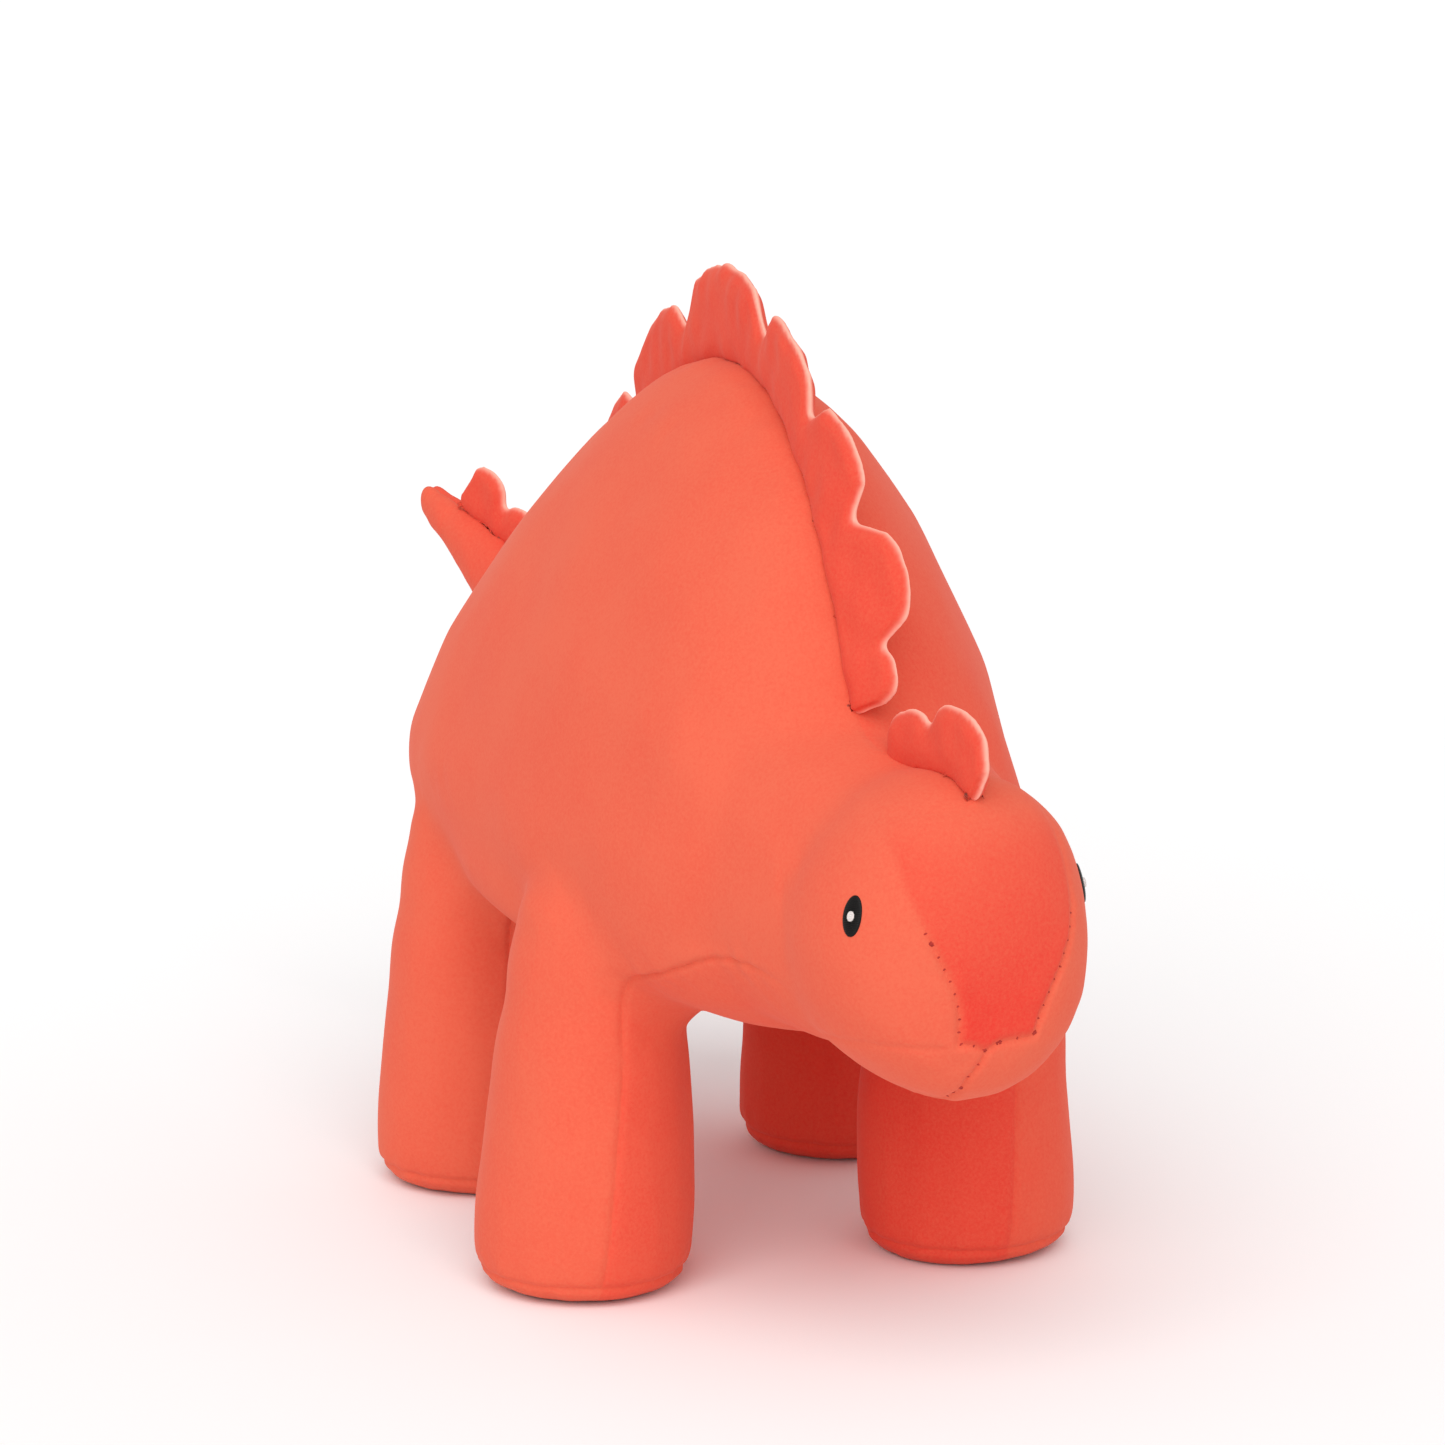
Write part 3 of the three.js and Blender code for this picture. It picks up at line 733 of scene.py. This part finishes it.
def body_form(settings):
    """The whole skin as one closed cloth, stuffed by simulation."""
    nodes = ["torso_stuffing", "right_flank_panel", "left_flank_panel", "belly_panel", "head_stuffing"]
    nodes += ["forehead_panel", "right_cheek_panel", "left_cheek_panel"]
    nodes += ["tail_stuffing", "tail_right_panel", "tail_left_panel"]
    nodes += [f"{leg}_{piece}" for leg in LEGS for piece in ("stuffing", "outer_panel", "inner_panel", "sole")]
    shape = joined_copy(nodes)
    torso, head, tail = (node_points(f"{body}_stuffing") for body in ("torso", "head", "tail"))
    off_middle = np.abs(torso[:, 0] - NECK[0])
    chest = torso[(torso[:, 1] < NECK[1] + 27 * MM) & (torso[:, 2] < NECK[2] + 48 * MM)]
    rump = torso[(torso[:, 1] > TAIL_ROOT[1] - 14 * MM) & (off_middle < 26 * MM) & (torso[:, 2] > 96 * MM)]
    bridge(shape, chest, head[head[:, 1] > NECK[1] - 26 * MM])
    bridge(shape, rump, tail[tail[:, 1] < TAIL_ROOT[1] + 20 * MM])
    obj = object_from("body", shape)
    step = settings.cloth_step
    remesh(obj, 0.6 * step)
    grow(obj, settings.crease_fill)
    remesh(obj, 0.8 * step)
    relax(obj, 12)
    grow(obj, -settings.crease_fill)
    relax(obj, 12)
    remesh(obj, step)
    relax(obj, 6)
    stuff(obj, settings.pressure, settings.swell)
    relax(obj, 2)
    subdivide(obj, 2)
    return surface_of(obj)


def sew(points, faces, settings):
    """Pulls the cloth in along every seam, and gives it the unevenness of hand stuffing."""
    normals = smooth_normals(points, faces)
    dip = np.zeros(len(points))
    near = np.zeros(len(points))
    for seam in SEAMS:
        distance, share = seam(points)
        dip = np.maximum(dip, share * np.exp(-((distance / settings.seam_width) ** 2)))
        near = np.maximum(near, share * np.exp(-((distance / (6 * MM)) ** 2)))
    puckers = 0.18 * MM * near * ripple(points, 7 * MM, settings.seed)
    lumps = 0.3 * MM * ripple(points, 42 * MM, settings.seed + 1)
    sewn = points + normals * (lumps + puckers + 0.4 * MM * near - settings.seam_depth * dip)[:, None]
    sewn[:, 0] += drape(points)
    sewn[:, 2] = np.maximum(sewn[:, 2], 0.2 * MM)
    return sewn


def drape(points):
    """How the flank's pull draws the hips in, and lets the legs stand out just below them."""
    out = points[:, 0] - NECK[0]
    height = points[:, 2]
    pull = 2.2 * MM * np.exp(-(((height - 62 * MM) / (14 * MM)) ** 2))
    pull -= 4 * MM * np.exp(-(((height - 94 * MM) / (11 * MM)) ** 2))
    along = [(points[:, 1] - HIPS[leg][1]) / HIP_DRAPE for leg in ("rear_left_leg", "front_left_leg")]
    at_hips = sum(np.exp(-(np.abs(distance) ** 4)) for distance in along)
    return np.sign(out) * pull * np.minimum(at_hips, 1) * smoothstep(54 * MM, 68 * MM, np.abs(out))


def body_panel(name, chosen, node):
    settings = bpy.context.scene.stegosaurus_sewing
    return panel(name, SKIN, chosen, node, settings.velour_thickness, settings.allowance)


def form_of(points, sewn, faces, nap, fold_highlight):
    """What a panel is cut from: its cloth before and after sewing, how its pile lies, and where a painted highlight
    runs along its fold.
    """
    normals = smooth_normals(sewn, faces)
    return {"place": points, "points": sewn, "faces": faces, "normals": normals, "nap": nap, "fold_highlight": fold_highlight}


def panel(name, form, chosen, node, thickness, allowance):
    """One closed cloth panel cut from a form, with its edges turned in by the seam allowance."""
    used, index = np.unique(form["faces"][chosen], return_inverse=True)
    faces = index.reshape(-1, 3)
    points, normals = form["points"][used], form["normals"][used]
    count = len(points)
    edges = edges_of(faces)
    rim = edges[~np.isin(edges[:, 0] * count + edges[:, 1], edges[:, 1] * count + edges[:, 0])]
    depth = np.full(count, thickness)
    depth[np.unique(rim)] = allowance
    start, end = rim.T
    hem = [np.stack([end, start, start + count], 1), np.stack([end, start + count, end + count], 1)]
    # the painted highlight along a fold goes to both the outer and the inner layer
    twice = {key: np.concatenate([form[key][used]] * 2) for key in ("place", "fold_highlight", "nap")}
    obj = mesh_object(
        name,
        np.concatenate([points, points - depth[:, None] * normals]),
        np.concatenate([faces, faces[:, ::-1] + count, *hem]),
        np.concatenate([normals, -normals]),
        {"cloth_place": twice["place"], "fold_highlight": twice["fold_highlight"], "nap": twice["nap"]},
        velour(),
    )
    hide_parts(node)
    return obj


def filling(name, node, settings, inset, step):
    """Loose fibre in the place of a CAD core, drawn in so that the cloth keeps clear of it where it drapes."""
    obj = object_from(name, joined_copy([node]))
    remesh(obj, step)
    relax(obj, 2)
    grow(obj, -inset)
    points = points_of(obj)
    normals = read_vectors(obj.data.vertices, len(points), "normal")
    loose = points + normals * (0.3 * inset * ripple(points, 12 * MM, settings.seed))[:, None]
    loose[:, 0] += drape(points)
    move_to(obj, loose)
    obj.data.shade_smooth()
    obj.data.materials.append(bpy.data.materials.get("polyester fibre fill, white") or fibre_fill())
    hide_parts(node)
    return obj


# ---------------------------------------------------------------- steps


class STEGO_OT_stuff(bpy.types.Operator):
    """Welds the filled forms, simulates the cloth over them and pulls in the seams"""

    bl_idname = "stegosaurus.stuff"
    bl_label = "Stuff the Body"

    def execute(self, context):
        settings = context.scene.stegosaurus_sewing
        points, faces = body_form(settings)
        for field in (*FIELDS, leg_field("front_right_leg"), leg_field("front_left_leg")):
            points, faces, _ = cut_along(points, faces, field(points))
        # the body's cloth gets no painted highlight along a fold
        no_fold_highlight = np.zeros(len(points))
        SKIN.update(form_of(points, sew(points, faces, settings), faces, nap_field(points), no_fold_highlight))
        for field in FIELDS:
            SKIN[field.__name__] = field(points)[faces].mean(1)
        SKIN["leg"] = np.full(len(faces), -1)
        SKIN["outer"] = np.zeros(len(faces), bool)
        between_legs = (HIPS["front_left_leg"] + HIPS["rear_right_leg"]) / 2
        offset = points[faces].mean(1) - between_legs
        for k, leg in enumerate(LEGS):
            quarter = np.sign((HIPS[leg] - between_legs)[:2])
            mine = (SKIN["leg_plane"] > 0) & (offset[:, :2] * quarter > 0).all(1)
            SKIN["leg"][mine] = k
            SKIN["outer"][mine] = leg_field(leg)(points)[faces[mine]].mean(1) > 0
        return {"FINISHED"}


class STEGO_OT_torso(bpy.types.Operator):
    """Cuts the flank and belly panels"""

    bl_idname = "stegosaurus.torso"
    bl_label = "Torso Panels"

    def execute(self, context):
        torso = (SKIN["leg"] < 0) & (SKIN["neck_plane"] < 0) & (SKIN["tail_plane"] < 0)
        belly = torso & (SKIN["belly_field"] < 0)
        right = SKIN["middle_field"] < 0
        for name, chosen in (
            ("right_flank", torso & ~belly & right),
            ("left_flank", torso & ~belly & ~right),
            ("belly", belly),
        ):
            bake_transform(body_panel(name, chosen, f"{name}_panel"))
        return {"FINISHED"}


class STEGO_OT_head(bpy.types.Operator):
    """Cuts the forehead and cheek panels"""

    bl_idname = "stegosaurus.head"
    bl_label = "Head Panels"

    def execute(self, context):
        head = SKIN["neck_plane"] >= 0
        forehead = head & (SKIN["forehead_field"] < 0)
        right = SKIN["middle_field"] < 0
        for name, chosen in (
            ("right_cheek", head & ~forehead & right),
            ("left_cheek", head & ~forehead & ~right),
            ("forehead", forehead),
        ):
            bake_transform(body_panel(name, chosen, f"{name}_panel"))
        return {"FINISHED"}


class STEGO_OT_tail(bpy.types.Operator):
    """Cuts the two tail panels"""

    bl_idname = "stegosaurus.tail"
    bl_label = "Tail Panels"

    def execute(self, context):
        tail = (SKIN["leg"] < 0) & (SKIN["tail_plane"] >= 0)
        right = SKIN["middle_field"] < 0
        for name, chosen in (("tail_right", tail & right), ("tail_left", tail & ~right)):
            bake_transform(body_panel(name, chosen, f"{name}_panel"))
        return {"FINISHED"}


class STEGO_OT_legs(bpy.types.Operator):
    """Cuts the leg panels and the soles"""

    bl_idname = "stegosaurus.legs"
    bl_label = "Leg Panels"

    def execute(self, context):
        sole = SKIN["sole_plane"] > 0
        for k, leg in enumerate(LEGS):
            mine = SKIN["leg"] == k
            for side, chosen in (("outer", SKIN["outer"]), ("inner", ~SKIN["outer"])):
                obj = body_panel(f"{leg}_{side}", mine & chosen & ~sole, f"{leg}_{side}_panel")
                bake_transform(obj)
            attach(body_panel(f"{leg}_sole_pad", mine & sole, f"{leg}_sole"), leg)
        return {"FINISHED"}


class STEGO_OT_plates(bpy.types.Operator):
    """Sews the three scalloped strips of plates, each from two faces over thin padding"""

    bl_idname = "stegosaurus.plates"
    bl_label = "Plates"

    def execute(self, context):
        settings = context.scene.stegosaurus_sewing
        for part, bend in (
            ("spine", ("torso", "neck", *NECK_BEND)),
            ("head", ("neck", "head", *HEAD_BEND)),
            ("tail", ("torso", "tail", *TAIL_BEND)),
        ):
            sides = {side: joined_copy([f"{part}_plates_{side}_face"]) for side in ("right", "left")}
            points, faces = plate_form(part, settings)
            away = {}
            for side, shape in sides.items():
                tree = BVHTree.FromBMesh(shape)
                away[side] = np.array([tree.find_nearest(Vector(point))[3] for point in points])
                shape.free()
            split = evened(away["right"] - away["left"], faces, 10)
            points, faces, split = cut_along(points, faces, split)
            lip = np.exp(-((split / (1.3 * MM)) ** 2))
            push = 0.25 * MM * ripple(points, 11 * MM, settings.seed + 5) - 0.9 * MM * (1 - lip)
            sewn = points + smooth_normals(points, faces) * push[:, None]
            nap = np.full(len(points), PLATE_NAP)
            # painted highlight along each plate's rim, where its two faces meet
            form = form_of(points, sewn, faces, nap, np.exp(-((split / (0.9 * MM)) ** 2)))
            middle = split[faces].mean(1)
            for side, chosen in (("right", middle < 0), ("left", middle >= 0)):
                name, cloth = f"{part}_plates_{side}", settings.plate_velour
                obj = panel(name, form, chosen, f"{name}_face", cloth, cloth)
                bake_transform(obj)
            name, node = f"{part}_plates_wadding", f"{part}_plates_padding"
            obj = filling(name, node, settings, WADDING_INSET, WADDING_STEP)
            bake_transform(obj)
        return {"FINISHED"}


def plate_form(part, settings):
    """The closed cloth of one strip, its foot let into the body's seam."""
    shape = joined_copy([f"{part}_plates_{layer}" for layer in ("right_face", "padding", "left_face")])
    obj = object_from(f"{part}_plates", shape)
    remesh(obj, settings.plate_step)
    grow(obj, 0.6 * MM)
    remesh(obj, settings.plate_step)
    even_out(obj, 5)
    relax(obj, 10)
    grow(obj, -0.4 * MM)
    stuff(obj, 0.6 * settings.pressure, 0.4 * MM)
    relax(obj, 2)
    skin = BVHTree.FromPolygons(SKIN["points"].tolist(), SKIN["faces"].tolist())
    points = points_of(obj)
    for k, point in enumerate(points):
        spot, normal, _, _ = skin.find_nearest(Vector(point))
        height = (Vector(point) - spot).dot(normal)
        sink = smoothstep(4 * MM, 0.5 * MM, height)
        points[k] = point - np.array(normal) * sink * 1.5 * MM
    move_to(obj, points)
    subdivide(obj, 1)
    return surface_of(obj)


class STEGO_OT_eyes(bpy.types.Operator):
    """Embroiders the two eyes in satin stitch"""

    bl_idname = "stegosaurus.eyes"
    bl_label = "Eyes"

    def execute(self, context):
        settings = context.scene.stegosaurus_sewing
        colours = context.scene.stegosaurus_colours
        cloth = BVHTree.FromPolygons(SKIN["points"].tolist(), SKIN["faces"].tolist())
        black = spun_thread("rayon embroidery thread, black", colours.eye_black, 0.4)
        white = spun_thread("rayon embroidery thread, white", colours.eye_white, 0.5)
        for side, out in (("right", -1), ("left", 1)):
            low, high = (np.array(corner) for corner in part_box(f"{side}_pupil"))
            centre = Vector((low + high) / 2)
            heading = HEAD_TURN + out * EYE_SIDE
            toward = Vector((math.sin(heading), -math.cos(heading), 0.0))
            tall = high[2] - low[2]
            for name, size, lift, material, slot in (
                ("pupil", (PUPIL[0] * tall, PUPIL[1] * tall), 0.0, black, "black_thread"),
                ("eye_highlight", HIGHLIGHT, HIGHLIGHT_LIFT, white, "white_thread"),
            ):
                obj = satin_oval(f"{side}_{name}_satin", cloth, centre, toward, size, lift, settings.satin_pitch)
                obj.data.materials.append(material)
                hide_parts(f"{side}_{name}")
                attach(obj, "head")
        return {"FINISHED"}


def satin_oval(name, cloth, centre, toward, size, lift, pitch):
    """An oval of level satin stitches, domed over the cloth, with each strand standing proud."""
    across = Vector((0, 0, 1)).cross(toward).normalized()
    up = toward.cross(across)
    strands = max(4, round(size[1] / pitch))
    rows, columns = 6 * strands, 24
    points = []
    for i in range(rows + 1):
        v = -1 + 2 * i / rows
        width = math.sqrt(max(0.0, 1 - v * v))
        for j in range(columns + 1):
            u = -1 + 2 * j / columns
            start = centre + across * (u * width * size[0] / 2) + up * (v * size[1] / 2) + toward * 30 * MM
            hit, normal, _, _ = cloth.ray_cast(start, -toward)
            dome = math.sqrt(max(0.0, 1 - u * u)) * math.sqrt(width)
            strand = abs(math.sin(math.pi * strands * (v + 1) / 2)) ** 0.6
            points.append(hit + normal * (lift + dome * (0.45 + 0.2 * strand) * MM))
    shape = bmesh.new()
    vertices = [shape.verts.new(point) for point in points]
    for i in range(rows):
        for j in range(columns):
            a = i * (columns + 1) + j
            shape.faces.new([vertices[k] for k in (a, a + 1, a + columns + 2, a + columns + 1)])
    under = bmesh.ops.duplicate(shape, geom=shape.verts[:] + shape.faces[:])["geom"]
    for vertex in (item for item in under if isinstance(item, bmesh.types.BMVert)):
        vertex.co -= toward * SATIN_DEPTH
    bmesh.ops.reverse_faces(shape, faces=[item for item in under if isinstance(item, bmesh.types.BMFace)])
    bmesh.ops.bridge_loops(shape, edges=[edge for edge in shape.edges if edge.is_boundary])
    bmesh.ops.remove_doubles(shape, verts=shape.verts, dist=0.005 * MM)
    bmesh.ops.recalc_face_normals(shape, faces=shape.faces)
    obj = object_from(name, shape)
    obj.data.shade_smooth()
    return obj


class STEGO_OT_stitches(bpy.types.Operator):
    """Sews the hand stitches that show along the seams of the head"""

    bl_idname = "stegosaurus.stitches"
    bl_label = "Stitches"

    def execute(self, context):
        settings = context.scene.stegosaurus_sewing
        obj = seam_lines("head_stitches", (forehead_seam, chin_seam))
        thread = spun_thread("polyester sewing thread, red", context.scene.stegosaurus_colours.seam_thread, 0.6)
        modifier = obj.modifiers.new("stitches", "NODES")
        modifier.node_group = stitch_tree(thread)
        sizes = {"Pitch": settings.stitch_pitch, "Length": settings.stitch_length, "Thread": settings.thread}
        for item in modifier.node_group.interface.items_tree:
            if item.in_out == "INPUT" and item.name in sizes:
                modifier[item.identifier] = sizes[item.name]
        settle(obj)
        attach(obj, "head")
        return {"FINISHED"}


def seam_lines(name, seams):
    """The lines along which these seams run on the sewn cloth, as edges that know which way is out."""
    edges = np.unique(np.sort(edges_of(SKIN["faces"]), axis=1), axis=0)
    on_seam = np.zeros(len(edges), bool)
    for seam in seams:
        distance, share = seam(SKIN["place"])
        sharp = (np.abs(distance) < 0.06 * MM) & (share > 0.7)
        on_seam |= sharp[edges].all(1)
    used, index = np.unique(edges[on_seam], return_inverse=True)
    mesh = bpy.data.meshes.new(name)
    mesh.from_pydata(SKIN["points"][used].tolist(), index.reshape(-1, 2).tolist(), [])
    out = mesh.attributes.new("out", "FLOAT_VECTOR", "POINT")
    out.data.foreach_set("vector", SKIN["normals"][used].astype(np.float32).ravel())
    return new_object(name, mesh)


def stitch_tree(thread):
    """Short stitches across a seam line, one at every pitch."""
    tree = bpy.data.node_groups.new("seam stitches", "GeometryNodeTree")
    tree.interface.new_socket("Geometry", in_out="INPUT", socket_type="NodeSocketGeometry")
    for name in ("Pitch", "Length", "Thread"):
        tree.interface.new_socket(name, in_out="INPUT", socket_type="NodeSocketFloat")
    tree.interface.new_socket("Geometry", in_out="OUTPUT", socket_type="NodeSocketGeometry")
    given = add_node(tree, "NodeGroupInput").outputs
    line = add_node(tree, "GeometryNodeMeshToCurve", {}, {"Mesh": given["Geometry"]})
    even = add_node(
        tree, "GeometryNodeResampleCurve", {"mode": "LENGTH"}, {"Curve": line.outputs[0], "Length": given["Pitch"]}
    )
    out = add_node(tree, "GeometryNodeInputNamedAttribute", {"data_type": "FLOAT_VECTOR", "Name": "out"})
    along = add_node(tree, "GeometryNodeInputTangent")
    turn = add_node(
        tree, "FunctionNodeAxesToRotation", {"primary_axis": "Z", "secondary_axis": "X"},
        {"Primary Axis": out.outputs["Attribute"], "Secondary Axis": along.outputs["Tangent"]},
    )
    bead = add_node(tree, "GeometryNodeMeshUVSphere", {"Segments": 6, "Rings": 5, "Radius": 0.5})
    size = add_node(
        tree, "ShaderNodeCombineXYZ", {}, {"X": given["Thread"], "Y": given["Length"], "Z": given["Thread"]}
    )
    stitch = add_node(
        tree, "GeometryNodeTransform", {}, {"Geometry": bead.outputs["Mesh"], "Scale": size.outputs["Vector"]}
    )
    placed = add_node(
        tree, "GeometryNodeInstanceOnPoints", {},
        {"Points": even.outputs[0], "Instance": stitch.outputs[0], "Rotation": turn.outputs["Rotation"]},
    )
    real = add_node(tree, "GeometryNodeRealizeInstances", {}, {"Geometry": placed.outputs[0]})
    round_ = add_node(tree, "GeometryNodeSetShadeSmooth", {}, {"Geometry": real.outputs[0]})
    dressed = add_node(tree, "GeometryNodeSetMaterial", {"Material": thread}, {"Geometry": round_.outputs[0]})
    add_node(tree, "NodeGroupOutput", {}, {"Geometry": dressed.outputs[0]})
    return tree


class STEGO_OT_filling(bpy.types.Operator):
    """Puts loose fibre filling inside each body"""

    bl_idname = "stegosaurus.filling"
    bl_label = "Filling"

    def execute(self, context):
        settings = context.scene.stegosaurus_sewing
        for body in ("torso", "neck", "head", "tail", *LEGS):
            obj = filling(f"{body}_fibre", f"{body}_stuffing", settings, FIBRE_INSET, FIBRE_STEP)
            if body in LEGS:
                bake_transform(obj)
            else:
                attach(obj, body)
        return {"FINISHED"}


class STEGO_OT_stage(bpy.types.Operator):
    """Sets the floor, the soft light and the camera"""

    bl_idname = "stegosaurus.stage"
    bl_label = "Stage"

    def execute(self, context):
        corners = [(x * FLOOR_REACH, y * FLOOR_REACH, 0) for x, y in ((-1, -1), (1, -1), (1, 1), (-1, 1))]
        mesh = bpy.data.meshes.new("floor")
        mesh.from_pydata(corners, [], [(0, 1, 2, 3)])
        floor = new_object("floor", mesh)
        material, tree = new_material("matt paper, white")
        shader = add_node(
            tree, "ShaderNodeBsdfPrincipled",
            {"Base Color": (*linear("#FCFCFC"), 1), "Roughness": 1.0, "Specular IOR Level": 0.0},
        )
        add_node(tree, "ShaderNodeOutputMaterial", {}, {"Surface": shader.outputs[0]})
        mesh.materials.append(material)
        world = bpy.data.worlds.new("studio")
        world.use_nodes = True
        sky = world.node_tree.nodes["Background"].inputs
        sky["Color"].default_value = (1, 1, 1, 1)
        sky["Strength"].default_value = 0.7
        context.scene.world = world
        light = bpy.data.lights.new("softbox", "SUN")
        light.energy = 1.6
        light.angle = math.radians(60)
        aim(new_object("softbox", light), Vector((0, 0, 0)), azimuth=-24, elevation=44, distance=3.0)
        camera = bpy.data.cameras.new("camera")
        camera.sensor_width = 36.0
        camera.lens = 171.75
        camera.clip_end = 50
        view = new_object("camera", camera)
        target = Vector(NECK + np.array([1.3, 128.6, 20.6]) * MM)
        aim(view, target, azimuth=-18.0, elevation=13.0, distance=1.8)
        context.scene.camera = view
        context.scene.view_settings.view_transform = "Standard"
        return {"FINISHED"}


def aim(obj, target, azimuth, elevation, distance):
    """Places an object at a distance from a target, in these directions in degrees, facing it."""
    a, e = math.radians(azimuth), math.radians(elevation)
    back = Vector((math.sin(a) * math.cos(e), -math.cos(a) * math.cos(e), math.sin(e)))
    obj.location = target + back * distance
    obj.rotation_euler = back.to_track_quat("Z", "Y").to_euler()


# ---------------------------------------------------------------- the add-on


STEPS = (
    STEGO_OT_stuff,
    STEGO_OT_torso,
    STEGO_OT_head,
    STEGO_OT_tail,
    STEGO_OT_legs,
    STEGO_OT_plates,
    STEGO_OT_eyes,
    STEGO_OT_stitches,
    STEGO_OT_filling,
    STEGO_OT_stage,
)


class STEGO_PT_sewing(bpy.types.Panel):
    """Lists the settings and the steps"""

    bl_idname = "STEGO_PT_sewing"
    bl_label = "Stuffed Stegosaurus"
    bl_space_type = "VIEW_3D"
    bl_region_type = "UI"
    bl_category = "Stegosaurus"

    def draw(self, context):
        for group in (context.scene.stegosaurus_sewing, context.scene.stegosaurus_colours):
            for name in type(group).__annotations__:
                self.layout.prop(group, name)
        for step in STEPS:
            self.layout.operator(step.bl_idname)


CLASSES = (SewingSettings, ClothColours, *STEPS, STEGO_PT_sewing)


def register():
    for cls in CLASSES:
        bpy.utils.register_class(cls)
    bpy.types.Scene.stegosaurus_sewing = PointerProperty(type=SewingSettings)
    bpy.types.Scene.stegosaurus_colours = PointerProperty(type=ClothColours)


def unregister():
    del bpy.types.Scene.stegosaurus_sewing
    del bpy.types.Scene.stegosaurus_colours
    for cls in reversed(CLASSES):
        bpy.utils.unregister_class(cls)


def main():
    register()
    for step in STEPS:
        group, name = step.bl_idname.split(".")
        getattr(getattr(bpy.ops, group), name)()


if __name__ == "__main__":
    main()
